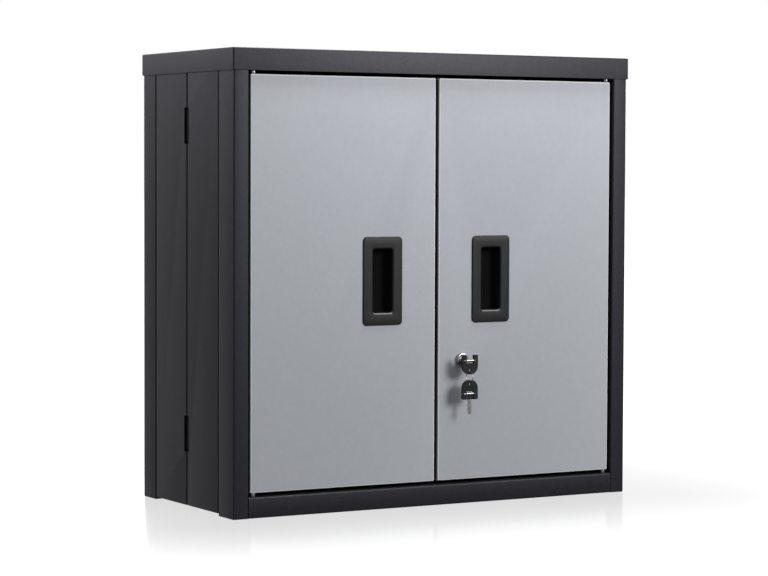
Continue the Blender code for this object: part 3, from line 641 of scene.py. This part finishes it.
# %% Rolled knuckles and slots
def knuckle_spans(middle):
    pitch = HINGE_LENGTH / 3
    low = middle - HINGE_LENGTH / 2
    return [(low + i * pitch + GAP / 2, low + (i + 1) * pitch - GAP / 2) for i in range(3)]


def knuckle_bars(axes, heights, spans_of, radius, extra=0.0, sides=24):
    def fill(builder):
        for x, y in axes:
            for middle in heights:
                for low, high in spans_of(middle):
                    add_bar(builder, (x, y, low - extra), (x, y, high + extra), radius, sides)

    return fill


def roll_knuckles(piece, axes, outer):
    own = 0 if outer else 1
    for operation, spans_of, radius, extra in (
        ("DIFFERENCE", lambda m: knuckle_spans(m)[1 - own::2], 0.0034, GAP),
        ("UNION", lambda m: knuckle_spans(m)[own::2], 0.0030, 0.0),
        ("DIFFERENCE", lambda m: [(m - 0.028, m + 0.028)], 0.0018, 0.0),
    ):
        shape_with(piece, operation, knuckle_bars(axes, HINGE_HEIGHTS, spans_of, radius, extra))


def slot_blocks(side, y):
    def fill(builder):
        for step in range(-4, 5):
            z = -0.018 + step * 0.060
            x = side * POST_X
            slug = add_block(builder, (x - 0.002, y - 0.0016, z - 0.005), (x + 0.002, y + 0.0016, z + 0.005))
            edges = dict.fromkeys(e for v in slug for e in v.link_edges)
            rounded = [e for e in edges if abs(e.verts[0].co.x - e.verts[1].co.x) > 0.003]
            round_edges(builder, rounded, 0.0009, 4)

    return fill


# %% Stiles
for label, side in SIDES:
    inner = SIDE - 0.0235
    path = [(inner, FRONT + 0.014), (inner, FRONT), (SIDE, FRONT), (SIDE, FRONT_SEAM)]
    path += [(POST_X, FRONT_SEAM), (POST_X, FRONT_SEAM - POST_LIP)]
    stile = sheet_piece(f"{label}_stile_sheet", [(side * x, y) for x, y in path], "z", BOTTOM, BODY_TOP)
    shape_with(stile, "DIFFERENCE", slot_blocks(side, FRONT_SEAM - 0.0105))
    roll_knuckles(stile, [(side * SEAM_X, FRONT_SEAM_AXIS)], outer=True)
    deliver(stile, "carcass", "charcoal_coat", [f"{label}_stile"])

# %% Rails
PIVOT_X, PIVOT_Y = 0.299, FRONT + 0.008
rail_path = [(FRONT + 0.030, BOTTOM), (FRONT, BOTTOM), (FRONT, rail_high.z)]
rail_path += [(FRONT + 0.022, rail_high.z), (FRONT + 0.022, rail_high.z - 0.009)]
top_path = [(FRONT + 0.038, top_low.z), (FRONT, top_low.z), (FRONT, BODY_TOP), (FRONT + 0.022, BODY_TOP)]
for name, path, level in (
    ("bottom_rail", rail_path, rail_high.z - SHEET / 2),
    ("top_rail", top_path, top_low.z + SHEET / 2),
):
    rail = sheet_piece(f"{name}_sheet", path, "x", rail_low.x, rail_high.x)

    def stud_holes(builder, level=level):
        for _, side in SIDES:
            x = side * PIVOT_X
            add_bar(builder, (x, PIVOT_Y, level - 0.003), (x, PIVOT_Y, level + 0.003), 0.0028)

    shape_with(rail, "DIFFERENCE", stud_holes)
    deliver(rail, "carcass", "charcoal_coat", [name])

# %% [markdown]
# Each side wall is two leaves that fold at a crease. Their flanges turn in at
# the crease, and two windows in the fold line make room for the hinge barrels.


# %% Wall leaves
def crease_windows(builder):
    for _, side in SIDES:
        for middle in HINGE_HEIGHTS:
            near, far = sorted((side * (SIDE - 0.008), side * (SIDE + 0.002)))
            low, high = middle - 0.02625, middle + 0.02625
            add_block(builder, (near, CREASE - 0.0055, low), (far, CREASE + 0.009, high))


for label, side in SIDES:
    seam = FRONT_SEAM + 0.0006
    fold = CREASE - 0.001
    front_path = [(POST_X, seam), (SIDE, seam), (SIDE, fold), (SIDE - 0.012, fold)]
    seam, fold = REAR_SEAM - 0.0016, CREASE + 0.001
    rear_path = [(SIDE - 0.012, fold), (SIDE, fold), (SIDE, seam), (POST_X, seam)]
    for where, path, axis_y in (("front", front_path, FRONT_SEAM_AXIS), ("rear", rear_path, REAR_SEAM_AXIS)):
        outline = [(side * x, y) for x, y in path]
        leaf = sheet_piece(f"{label}_{where}_leaf_sheet", outline, "z", leaf_low.z, leaf_high.z)
        shape_with(leaf, "DIFFERENCE", crease_windows)
        roll_knuckles(leaf, [(side * SEAM_X, axis_y)], outer=False)
        deliver(leaf, "carcass", "charcoal_coat", [f"{label}_{where}_leaf"])

# %% [markdown]
# The back panel is one wide sheet whose sides wrap round to the rear seams. It
# has two keyholes and two lower holes for hanging, and flanges at its ends.


# %% Back panel
def back_flanges(builder):
    edge = SIDE - 0.0007
    for low in (BOTTOM, BODY_TOP - SHEET):
        add_block(builder, (-edge, -0.0205, low), (edge, -0.0004, low + SHEET))


HANGING_X, KEYHOLE_Z, LOWER_HOLE_Z = 0.225, 0.265, -0.27
COVER_SCREW = (0.30, -0.012)


def cover_screw_holes(builder, low, high):
    x, y = COVER_SCREW
    for _, side in SIDES:
        add_bar(builder, (side * x, y, low), (side * x, y, high), 0.0021)


def wall_holes(builder):
    for _, side in SIDES:
        x = side * HANGING_X
        for z, radius in ((LOWER_HOLE_Z, 0.0033), (KEYHOLE_Z, 0.0052)):
            add_bar(builder, (x, -0.004, z), (x, 0.003, z), radius)
    cover_screw_holes(builder, 0.32, 0.335)


def keyhole_neck(x):
    low, high = (x - 0.0026, -0.004, KEYHOLE_Z + 0.001), (x + 0.0026, 0.003, KEYHOLE_Z + 0.0115)
    return lambda builder: add_block(builder, low, high)


half_path = [(-POST_X, REAR_SEAM + POST_LIP), (-POST_X, REAR_SEAM), (-SIDE, REAR_SEAM), (-SIDE, 0.0)]
back_path = half_path + [(-x, y) for x, y in reversed(half_path)]
back = sheet_piece("back_panel_sheet", back_path, "z", BOTTOM, BODY_TOP)
shape_with(back, "UNION", back_flanges)
shape_with(back, "DIFFERENCE", wall_holes)
for _, side in SIDES:
    shape_with(back, "DIFFERENCE", keyhole_neck(side * HANGING_X))
for _, side in SIDES:
    shape_with(back, "DIFFERENCE", slot_blocks(side, REAR_SEAM + 0.0095))
roll_knuckles(back, [(-SEAM_X, REAR_SEAM_AXIS), (SEAM_X, REAR_SEAM_AXIS)], outer=True)
deliver(back, "carcass", "charcoal_coat", ["back_panel"])


# %% [markdown]
# ## Pressed pans
# The cover, the doors, the shelf and the floor panel are pans. Each starts as a
# cube with a side taken off; the edges that remain are its folds, so a bevel on
# them gives every bend its radius before the skin gets its gauge.


# %% Pans
def fold_edges(builder):
    return [e for e in builder.edges if len(e.link_faces) == 2 and e.calc_face_angle(0) > 1.0]


def pan_skin(low, high, open_sides, bend=BEND, lip=0.0, steps=5):
    """open_sides holds outward directions of the faces taken off; a lip is left round the first of them."""

    def fill(builder):
        add_block(builder, low, high)
        for i, direction in enumerate(open_sides):
            gone = [f for f in builder.faces if f.normal.dot(Vector(direction)) > 0.9]
            if lip and i == 0:
                bmesh.ops.inset_region(builder, faces=gone, thickness=lip, use_even_offset=True)
            bmesh.ops.delete(builder, geom=gone, context="FACES")
        round_edges(builder, fold_edges(builder), bend, steps)

    return fill


def pan_piece(name, low, high, open_sides, bend=BEND, lip=0.0):
    piece = fresh_object(name, pan_skin(low, high, open_sides, bend, lip))
    thicken(piece)
    return piece


# %% Top cover
cover = pan_piece("top_cover_sheet", *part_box("top_cover"), [(0, 0, -1), (0, 1, 0)])
shape_with(cover, "DIFFERENCE", lambda builder: cover_screw_holes(builder, 0.325, 0.334))
deliver(cover, "carcass", "charcoal_coat", ["top_cover"])


# %% Shelf and floor panel
def tray_piece(name, node, body):
    low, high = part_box(node)
    edge = 0.311
    tray = pan_piece(name, (-edge, low.y, low.z), (edge, high.y, high.z), [(0, 0, -1)])

    def wings(builder):
        for _, side in SIDES:
            near, far = sorted((side * (edge - 0.0025), side * high.x))
            for low_y, high_y in ((-0.243, -0.160), (-0.139, -0.052)):
                add_block(builder, (near, low_y, high.z - SHEET), (far, high_y, high.z))

    shape_with(tray, "UNION", wings)
    deliver(tray, body, "charcoal_coat", [node])


tray_piece("shelf_sheet", "shelf", "shelf")
tray_piece("floor_panel_sheet", "floor_panel", "carcass")

# %% [markdown]
# A door is a pan with its lips turned in. The lips of neighbouring sides meet in
# a mitre, so a thin slit runs through each inside corner. The sheet is punched
# for the pull, the studs and, on the right, the lock.

# %% Doors
PULL_X = 0.092
LOCK_X, LOCK_Z = 0.0426, -0.118


def lock_bar(builder, start_y, end_y, radius, sides=32, end_radius=None):
    """A bar on the lock's own axis."""
    add_bar(builder, (LOCK_X, start_y, LOCK_Z), (LOCK_X, end_y, LOCK_Z), radius, sides, end_radius)


def door_piece(label, side):
    low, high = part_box(f"{label}_door")
    door = pan_piece(f"{label}_door_sheet", low, high, [(0, 1, 0)], lip=0.012)

    def punched(builder):
        x, pivot_x = side * PULL_X, side * PIVOT_X
        add_block(builder, (x - 0.018, low.y - 0.002, -0.048), (x + 0.018, low.y + 0.004, 0.048))
        for z in (low.z, high.z):
            add_bar(builder, (pivot_x, PIVOT_Y, z - 0.003), (pivot_x, PIVOT_Y, z + 0.003), 0.00265)
        if side > 0:
            lock_bar(builder, low.y - 0.002, low.y + 0.004, 0.0083)

    def mitres(builder):
        for x, lean in ((low.x, 1), (high.x, -1)):
            for z, rise in ((low.z, 1), (high.z, -1)):
                corner = Vector((x + lean * 0.0066, high.y, z + rise * 0.0066))
                slit = add_block(builder, (-0.0082, -0.0015, -0.0002), (0.0082, 0.0015, 0.0002))
                tilt = Matrix.Rotation(-lean * rise * math.pi / 4, 4, "Y")
                bmesh.ops.transform(builder, matrix=Matrix.Translation(corner) @ tilt, verts=slit)

    shape_with(door, "DIFFERENCE", punched)
    shape_with(door, "DIFFERENCE", mitres)
    return deliver(door, f"{label}_door", "light_grey_coat", [f"{label}_door"])


for label, side in SIDES:
    door_piece(label, side)

# %% [markdown]
# ## Recessed pulls
# The pull is one moulding: a plate on the door's face round a closed cup. It is
# built as a stack of round-cornered loops, each extruded from the last, from the
# back of the cup, round the plate's soft edge and over the rolled mouth, down to
# the cup's floor.


# %% A stack of rounded loops
def rounded_stack(builder, middle, loops):
    """loops holds (size, corner radius, y). Each one is extruded from the last and then fitted."""
    size, radius, y = loops[0]
    corners = upright_rectangle(builder, (middle[0], y, middle[1]), size)
    round_corners(builder, corners, radius, 7)
    rim = builder.edges[:]
    for next_size, next_radius, next_y in loops[1:]:
        grown = bmesh.ops.extrude_edge_only(builder, edges=rim)["geom"]
        fresh = {item for item in grown if isinstance(item, bmesh.types.BMVert)}
        rim = [item for item in grown if isinstance(item, bmesh.types.BMEdge) and set(item.verts) <= fresh]
        for vert in fresh:
            for axis, at, old, new in zip((0, 2), middle, size, next_size):
                offset = vert.co[axis] - at
                round_part = abs(offset) - (old / 2 - radius)
                moved = new / 2 - next_radius + round_part * next_radius / radius
                vert.co[axis] = at + math.copysign(moved, offset)
            vert.co.y = next_y
        size, radius, y = next_size, next_radius, next_y
    bmesh.ops.edgeloop_fill(builder, edges=rim)


# %% Pulls
PLATE, MOUTH, WALL, MOUTH_ROLL = (0.065, 0.128), (0.032, 0.092), 0.0015, 0.0026


def shrunk(size, by):
    return size[0] - 2 * by, size[1] - 2 * by


def pull_loops(face_y):
    """face_y is the plate's front. Its outer edge is soft, and the mouth rolls in on a wider radius."""
    back_y, floor_y = face_y + 0.0017, face_y + 0.0165
    cup = (MOUTH[0] + 2 * WALL, MOUTH[1] + 2 * WALL)
    loops = [(shrunk(cup, 0.001), 0.0035, floor_y + WALL), (cup, 0.0045, floor_y + WALL - 0.001)]
    loops += [(cup, 0.0045, back_y), (PLATE, 0.0065, back_y), (PLATE, 0.0065, face_y + 0.0013)]
    for step in range(1, 6):
        angle = math.pi / 2 * step / 5
        inset, depth = 0.0013 * (1 - math.cos(angle)), 0.0013 * (1 - math.sin(angle))
        loops.append((shrunk(PLATE, inset), 0.0065 - inset, face_y + depth))
    for step in range(8):
        angle = math.pi / 2 * step / 7
        spread, depth = MOUTH_ROLL * (1 - math.sin(angle)), MOUTH_ROLL * (1 - math.cos(angle))
        loops.append((shrunk(MOUTH, -spread), 0.0034 + spread, face_y + depth))
    for inset, radius, above in ((0.0006, 0.0032, 0.0016), (0.0011, 0.0027, 0.0005), (0.0022, 0.0018, 0)):
        loops.append((shrunk(MOUTH, inset), radius, floor_y - above))
    return loops


for label, side in SIDES:
    loops = pull_loops(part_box(f"{label}_pull")[0].y)
    pull = fresh_object(
        f"{label}_pull_moulding",
        lambda builder, side=side, loops=loops: rounded_stack(builder, (side * PULL_X, 0.0), loops),
    )
    deliver(pull, f"{label}_door", "black_plastic", [f"{label}_pull"], edge=0)


# %% [markdown]
# ## Turned pieces
# Studs, pins, the lock and the screws are turned: a profile of radius and height
# is spun a full turn. Corners of a profile can be rounded first with a vertex
# bevel, which becomes a soft edge all the way round.


# %% Turning
def turned_skin(profile, centre, axis, soften=0.0, steps=48):
    def fill(builder):
        points = [builder.verts.new((radius, 0.0, height)) for radius, height in profile]
        closed = min(radius for radius, _ in profile) > 0
        ends = points[1:] + (points[:1] if closed else [])
        for first, second in zip(points, ends):
            builder.edges.new((first, second))
        if soften:
            corners = points if closed else points[1:-1]
            round_corners(builder, corners, soften, 3, clamp=True)
        bmesh.ops.spin(
            builder, geom=builder.verts[:] + builder.edges[:], cent=(0, 0, 0), axis=(0, 0, 1),
            angle=math.tau, steps=steps, use_merge=True,
        )
        bmesh.ops.remove_doubles(builder, verts=builder.verts[:], dist=1e-6)
        loose = [edge for edge in builder.edges if not edge.link_faces]
        bmesh.ops.delete(builder, geom=loose, context="EDGES")
        spin = Vector(axis).to_track_quat("Z", "Y").to_matrix().to_4x4()
        bmesh.ops.transform(builder, matrix=Matrix.Translation(centre) @ spin, verts=builder.verts[:])

    return fill


def turned_piece(name, profile, centre, axis, soften=0.0, steps=48):
    return fresh_object(name, turned_skin(profile, centre, axis, soften, steps))


# %% Door studs
for label, side in SIDES:
    for where, sign in (("bottom", 1), ("top", -1)):
        node = f"{label}_door_{where}_pin"
        low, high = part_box(node)
        foot, tip = (low.z, high.z) if sign > 0 else (high.z, low.z)
        door_low, door_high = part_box(f"{label}_door")
        edge_z = door_low.z if sign > 0 else door_high.z
        flange = rail_high.z if sign > 0 else top_low.z
        start, end = flange + sign * GAP, edge_z - sign * GAP
        profile = [(0, foot), (0.0042, foot), (0.0042, foot + sign * 0.0015), (0.0025, foot + sign * 0.0015)]
        profile += [(0.0025, start), (0.004, start), (0.004, end), (0.0025, end), (0.0025, tip), (0, tip)]
        stud = turned_piece(f"{node}_turned", profile, (side * PIVOT_X, PIVOT_Y, 0), (0, 0, 1), soften=0.0003)
        deliver(stud, "carcass", "chrome", [node], edge=0)

# %% [markdown]
# The crease hinges are small butt hinges in a dull black coat, painted darker
# still as shade in the windows of the fold. The front plate carries the end
# knuckles, the rear plate the middle one, and a domed pin runs through all three.


# %% Crease hinges
def crease_hinge(label, side, height_name, middle):
    stem = f"{label}_{height_name}_crease_hinge"
    x = side * (SIDE - 0.0035)
    spans = knuckle_spans(middle)
    reach = HINGE_LENGTH / 2
    for where, direction, own in (("front", -1, 0), ("rear", 1, 1)):
        skin = CREASE + direction * (0.002 + GAP)
        low_y, high_y = sorted((skin, skin + direction * 0.0012))
        low_x, high_x = sorted((side * (SIDE - 0.0205), x))
        low, high = (low_x, low_y, middle - reach), (high_x, high_y, middle + reach)
        node = f"{stem}_{where}_plate"
        plate = fresh_object(f"{node}_formed", lambda b, low=low, high=high: add_block(b, low, high))
        for operation, chosen, radius, extra in (
            ("DIFFERENCE", spans[1 - own::2], 0.0038, GAP),
            ("UNION", spans[own::2], 0.0034, 0.0),
            ("DIFFERENCE", [(middle - 0.03, middle + 0.03)], 0.0018, 0.0),
        ):
            bars = knuckle_bars([(x, CREASE)], [middle], lambda _, spans=chosen: spans, radius, extra, 32)
            shape_with(plate, operation, bars)
        deliver(plate, "carcass", "charcoal_coat", [node], edge=0.00018, finish=HINGE_BLACK_AND_SHADE)
    top = reach + 0.001
    profile = [(0, middle - top), (0.0015, middle - top), (0.0015, middle + top), (0, middle + top)]
    pin = turned_piece(f"{stem}_pin_turned", profile, (x, CREASE, 0), (0, 0, 1), soften=0.0005, steps=24)
    deliver(pin, "carcass", "charcoal_coat", [f"{stem}_pin"], edge=0, finish=HINGE_BLACK_AND_SHADE)


for label, side in SIDES:
    for height_name, middle in (("lower", HINGE_HEIGHTS[0]), ("upper", HINGE_HEIGHTS[1])):
        crease_hinge(label, side, height_name, middle)

# %% [markdown]
# ## Cam lock
# The housing is a chromed barrel with a round head outside the door and a thread
# behind it. The thread is drawn as a fine zigzag in the profile. A nut clamps it,
# the plug turns inside it, and a cranked cam sits on the plug's tail under a
# cross-head screw.

# %% Lock housing and plug
BEHIND = (0, 1, 0)
LOCK_PLACE = (LOCK_X, 0, LOCK_Z)
housing_low, housing_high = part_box("lock_housing")
plug_low, plug_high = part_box("lock_plug")
DOOR_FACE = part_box("right_door")[0].y
bore = 0.0061
face = housing_low.y
profile = [(bore, face + 0.0010), (bore + 0.0009, face + 0.0002), (0.0085, face), (0.0095, face + 0.0004)]
profile += [(0.010, face + 0.0013), (0.010, DOOR_FACE - GAP), (0.008, DOOR_FACE - GAP)]
profile += [(0.008, DOOR_FACE + 0.0020)]
turns = 15
pitch = (housing_high.y - 0.0006 - DOOR_FACE - 0.0020) / turns
for i in range(turns):
    crest = DOOR_FACE + 0.0020 + i * pitch
    profile += [(0.0076, crest + pitch * 0.5), (0.008, crest + pitch)]
profile += [(0.0074, housing_high.y), (bore, housing_high.y)]
housing = turned_piece("lock_housing_barrel", profile, LOCK_PLACE, BEHIND, steps=64)
deliver(housing, "right_door", "chrome", ["lock_housing"], edge=0)

profile = [(0, plug_low.y), (0.006, plug_low.y), (0.006, plug_high.y), (0, plug_high.y)]
plug = turned_piece("lock_plug_barrel", profile, LOCK_PLACE, BEHIND, soften=0.0004, steps=64)


def key_way(builder):
    low = (LOCK_X - 0.0033, plug_low.y - 0.001, LOCK_Z - 0.0011)
    add_block(builder, low, (LOCK_X + 0.0033, -0.289, LOCK_Z + 0.0011))


shape_with(plug, "DIFFERENCE", key_way)
shape_with(plug, "DIFFERENCE", lambda b: lock_bar(b, plug_high.y - 0.008, plug_high.y + 0.002, 0.0023))
deliver(plug, "lock_plug", "chrome", ["lock_plug"], edge=0.00012, angle=60)

# %% Nut, cam and screw
nut_low, nut_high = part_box("lock_nut")


def hexagon(builder):
    lock_bar(builder, nut_low.y, nut_high.y, 0.0118, sides=6)
    if max(v.co.x for v in builder.verts) < nut_high.x - 0.0002:
        turn_flat = Matrix.Rotation(math.pi / 6, 3, "Y")
        bmesh.ops.rotate(builder, cent=LOCK_PLACE, matrix=turn_flat, verts=builder.verts[:])


nut = fresh_object("lock_nut_hex", hexagon)


def chamfer_cone(builder):
    lock_bar(builder, nut_high.y + 0.0002, nut_low.y - 0.004, 0.0108, 64, end_radius=0.0158)


shape_with(nut, "INTERSECT", chamfer_cone)
shape_with(nut, "DIFFERENCE", lambda b: lock_bar(b, nut_low.y - 0.002, nut_high.y + 0.002, 0.0083))
deliver(nut, "right_door", "zinc_plate", ["lock_nut"], edge=0.00015)

cam_low, cam_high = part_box("lock_cam")
cam_front, cam_sheet = plug_high.y + GAP, 0.0015
cam_tip = cam_low.y
path = [(cam_front, cam_high.z), (cam_front, LOCK_Z - 0.016), (cam_tip, LOCK_Z - 0.024), (cam_tip, cam_low.z)]
cam = fresh_object("lock_cam_blank", bent_skin(path, "x", cam_low.x, cam_high.x, bend=0.002))
thicken(cam, cam_sheet)
shape_with(cam, "DIFFERENCE", lambda b: lock_bar(b, cam_front - 0.003, cam_front + 0.004, 0.0023))
deliver(cam, "lock_plug", "zinc_plate", ["lock_cam"], edge=0.0003)

screw_low, screw_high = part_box("cam_screw")
seat = cam_front + cam_sheet + GAP
profile = [(0, screw_low.y), (0.002, screw_low.y), (0.002, seat), (0.004, seat), (0.004, seat + 0.0010)]
profile += [(0.0036, screw_high.y - 0.0003), (0.0026, screw_high.y), (0, screw_high.y)]
screw = turned_piece("cam_screw_turned", profile, LOCK_PLACE, BEHIND, steps=32)


def recess_slot(half_x, half_z):
    low = (LOCK_X - half_x, screw_high.y - 0.0012, LOCK_Z - half_z)
    high = (LOCK_X + half_x, screw_high.y + 0.001, LOCK_Z + half_z)
    return lambda builder: add_block(builder, low, high)


for half_x, half_z in ((0.0018, 0.0004), (0.0004, 0.0018)):
    shape_with(screw, "DIFFERENCE", recess_slot(half_x, half_z))
deliver(screw, "lock_plug", "zinc_plate", ["cam_screw"], edge=0)

# %% [markdown]
# ## Keys and ring
# Both keys fold: the blade's eye is a little tube that turns on a pin between
# two prongs of the plastic head, and the pin shows in a channel across the head's
# face. One key is in the lock with its head hanging down. The spare hangs from it
# on a split ring, which is a wire coiled twice.

# %% Key heads
KEY_Y = (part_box("key_head")[0].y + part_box("key_head")[1].y) / 2
PIVOTS = {"key": LOCK_Z, "spare_key": (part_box("spare_key_pin")[0].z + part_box("spare_key_pin")[1].z) / 2}
HEAD_WIDTH, HEAD_THICK, PRONG, HEAD_END = 0.026, 0.0044, 0.0083, -0.0201
print("key pivots", {k: round(v, 4) for k, v in PIVOTS.items()})


def head_blank(builder):
    middle = (0, -HEAD_THICK / 2, (PRONG + HEAD_END) / 2)
    corners = upright_rectangle(builder, middle, (HEAD_WIDTH, PRONG - HEAD_END))
    round_corners(builder, [v for v in corners if v.co.z < 0], 0.0122, 12)
    round_corners(builder, [v for v in builder.verts if v.co.z > PRONG - 1e-5], 0.0014, 4)
    push_out(builder, bmesh.ops.extrude_face_region(builder, geom=builder.faces[:]), (0, HEAD_THICK, 0))


def head_notch(builder):
    add_block(builder, (-0.0063, -0.004, -0.0034), (0.0063, 0.004, 0.012))


def head_bores(builder):
    add_bar(builder, (-0.015, 0, 0), (0.015, 0, 0), 0.00125, sides=24)
    add_bar(builder, (0, -0.005, -0.0142), (0, 0.005, -0.0142), 0.0022, sides=32)


def pin_channel(builder):
    """A channel across the front face, in which the pin shows."""
    add_block(builder, (-0.0108, -0.0030, -0.0010), (0.0108, -0.0002, 0.0010))


def head_panels(builder):
    """Shallow grip panels on both faces, with ribs left standing in them."""
    panels = ((-0.0095, -0.0062), (-0.0054, -0.0021), (-0.0013, 0.0013), (0.0021, 0.0054), (0.0062, 0.0095))
    for face_side in (-1, 1):
        near, far = sorted((face_side * (HEAD_THICK / 2 - 0.00035), face_side * (HEAD_THICK / 2 + 0.001)))
        for low_x, high_x in panels:
            add_block(builder, (low_x, near, -0.0108), (high_x, far, -0.0058))


def place_key(piece, pivot, flip=False):
    turn_over = Matrix.Rotation(math.pi if flip else 0.0, 4, "Y")
    piece.data.transform(Matrix.Translation((LOCK_X, KEY_Y, pivot)) @ turn_over)


for prefix, pivot in PIVOTS.items():
    head = fresh_object(f"{prefix}_head_moulding", head_blank)
    for cutter in (head_notch, head_bores, pin_channel, head_panels):
        shape_with(head, "DIFFERENCE", cutter)
    place_key(head, pivot, flip=prefix == "spare_key")
    deliver(head, f"{prefix}_head", "black_plastic", [f"{prefix}_head"], edge=0.00045, segments=3, angle=55)

# %% [markdown]
# The blade is a flat bar with a milled groove down each face, a pointed tip and
# cuts along both edges. A dark moulded bow grips it between the prongs, and the
# bright tube at the bow's end turns on the pin.


# %% Key blades and pins
def low_corners(builder, level):
    """The edges below a level that run through the thickness."""
    low = [e for e in builder.edges if all(v.co.z < level for v in e.verts)]
    return [e for e in low if abs(e.verts[0].co.y - e.verts[1].co.y) > 0.001]


def blade_bar(builder):
    add_block(builder, (-0.003, -0.0008, -0.030), (0.003, 0.0008, -0.0080))
    round_edges(builder, low_corners(builder, -0.029), 0.0021, 1)


def blade_bow(builder):
    """The bow fills the space between the prongs."""
    add_block(builder, (-0.0058, -0.0010, -0.0083), (0.0058, 0.0010, -0.0017))
    round_edges(builder, low_corners(builder, -0.008), 0.0010, 4)


def blade_cuts(builder):
    depths = (0.0007, 0.0012, 0.0004, 0.0010, 0.0006, 0.0013)
    for i, depth in enumerate(depths):
        for edge_side in (-1, 1):
            z = -0.0265 + i * 0.0030
            cutter = add_block(builder, (-0.0015, -0.002, -0.0015), (0.0015, 0.002, 0.0015))
            out = edge_side * (0.003 + 0.0021 - (depth if edge_side > 0 else depths[-1 - i]))
            turn_cut = Matrix.Translation((out, 0, z)) @ Matrix.Rotation(math.pi / 4, 4, "Y")
            bmesh.ops.transform(builder, matrix=turn_cut, verts=cutter)


def blade_grooves(builder):
    add_block(builder, (-0.0012, -0.002, -0.032), (-0.0004, -0.00035, -0.0045))
    add_block(builder, (0.0004, 0.00035, -0.032), (0.0012, 0.002, -0.0045))


def eye_tube(builder):
    add_bar(builder, (-0.006, 0, 0), (0.006, 0, 0), 0.0022, sides=32)


def eye_bore(builder):
    add_bar(builder, (-0.008, 0, 0), (0.008, 0, 0), 0.0012, sides=24)


for prefix, pivot in PIVOTS.items():
    blade = fresh_object(f"{prefix}_blade_cut", blade_bar)
    shape_with(blade, "DIFFERENCE", blade_cuts)
    shape_with(blade, "DIFFERENCE", blade_grooves)
    bow = fresh_object(f"{prefix}_blade_bow", blade_bow)
    eye = fresh_object(f"{prefix}_blade_eye", eye_tube)
    shape_with(eye, "DIFFERENCE", eye_bore)
    for part, slot, edge, segments in (
        (blade, "nickel", 0.0001, 1),
        (eye, "nickel", 0.00015, 2),
        (bow, "black_plastic", 0.0002, 2),
    ):
        if prefix == "key":
            part.data.transform(Matrix.Rotation(math.pi / 2, 4, "X"))
        place_key(part, pivot)
        deliver(part, f"{prefix}_blade", slot, [f"{prefix}_blade"], edge, segments)

    reach = HEAD_WIDTH / 2 - 0.0002
    profile = [(0, -reach), (0.001, -reach), (0.001, reach), (0, reach)]
    place = (LOCK_X, KEY_Y, pivot)
    pin = turned_piece(f"{prefix}_pin_turned", profile, place, (1, 0, 0), soften=0.0003, steps=24)
    deliver(pin, f"{prefix}_head", "nickel", [f"{prefix}_pin"], edge=0)

# %% Split ring
ring_low, ring_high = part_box("key_ring")
RING_PLACE = (ring_low + ring_high) / 2
WIRE_R, RING_R, TURN_STEPS = 0.00034, 0.0090, 64


def coil(builder):
    hoop = bmesh.ops.create_circle(
        builder, cap_ends=False, segments=10, radius=WIRE_R,
        matrix=Matrix.Translation((RING_R, 0, -2 * WIRE_R)) @ Matrix.Rotation(math.pi / 2, 4, "X"),
    )["verts"]
    edges = builder.edges[:]
    bmesh.ops.spin(
        builder, geom=hoop + edges, cent=(0, 0, 0), axis=(0, 0, 1), dvec=(0, 0, 2 * WIRE_R / TURN_STEPS),
        angle=2 * math.tau, steps=2 * TURN_STEPS, use_merge=False,
    )
    bmesh.ops.remove_doubles(builder, verts=builder.verts[:], dist=1e-7)
    bmesh.ops.holes_fill(builder, edges=[e for e in builder.edges if len(e.link_faces) == 1], sides=0)
    stand = Matrix.Translation(RING_PLACE) @ Matrix.Rotation(math.pi / 2, 4, "Y")
    bmesh.ops.transform(builder, matrix=stand, verts=builder.verts[:])


ring = fresh_object("key_ring_coil", coil)
deliver(ring, "key_ring", "nickel", ["key_ring"], edge=0)

# %% [markdown]
# ## Pieces that stay as they came
# Small hidden pieces already have the right shape: clips, seam pins, the catch
# and two screws. A Weld and a narrow Bevel soften their edges, and each takes
# the finish that its slot names.

# %% Finish the rest
slot_of = {row["node"]: row["material_slot"] for row in frame["record"]["subparts"]}
kept = 0
for name, node in frame["nodes"].items():
    node.data.materials.clear()
    node.data.materials.append(SLOT_FINISH[slot_of[name]])
    if node.hide_render:
        continue
    weld = node.modifiers.new("weld", "WELD")
    weld.merge_threshold = 0.00001
    break_edges(node, 0.0002, segments=2, angle=40)
    kept += 1
print(kept, "solids keep their shape")

# %% [markdown]
# ## Measure and finish
# The dressed cabinet must fill the same box as the solids it stands for, so both
# boxes are written down side by side.

# %% Sizes and finish
NEW_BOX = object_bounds()
for before, after in zip(CAD_BOX, NEW_BOX):
    print([round(v * 1000, 2) for v in before], [round(v * 1000, 2) for v in after])
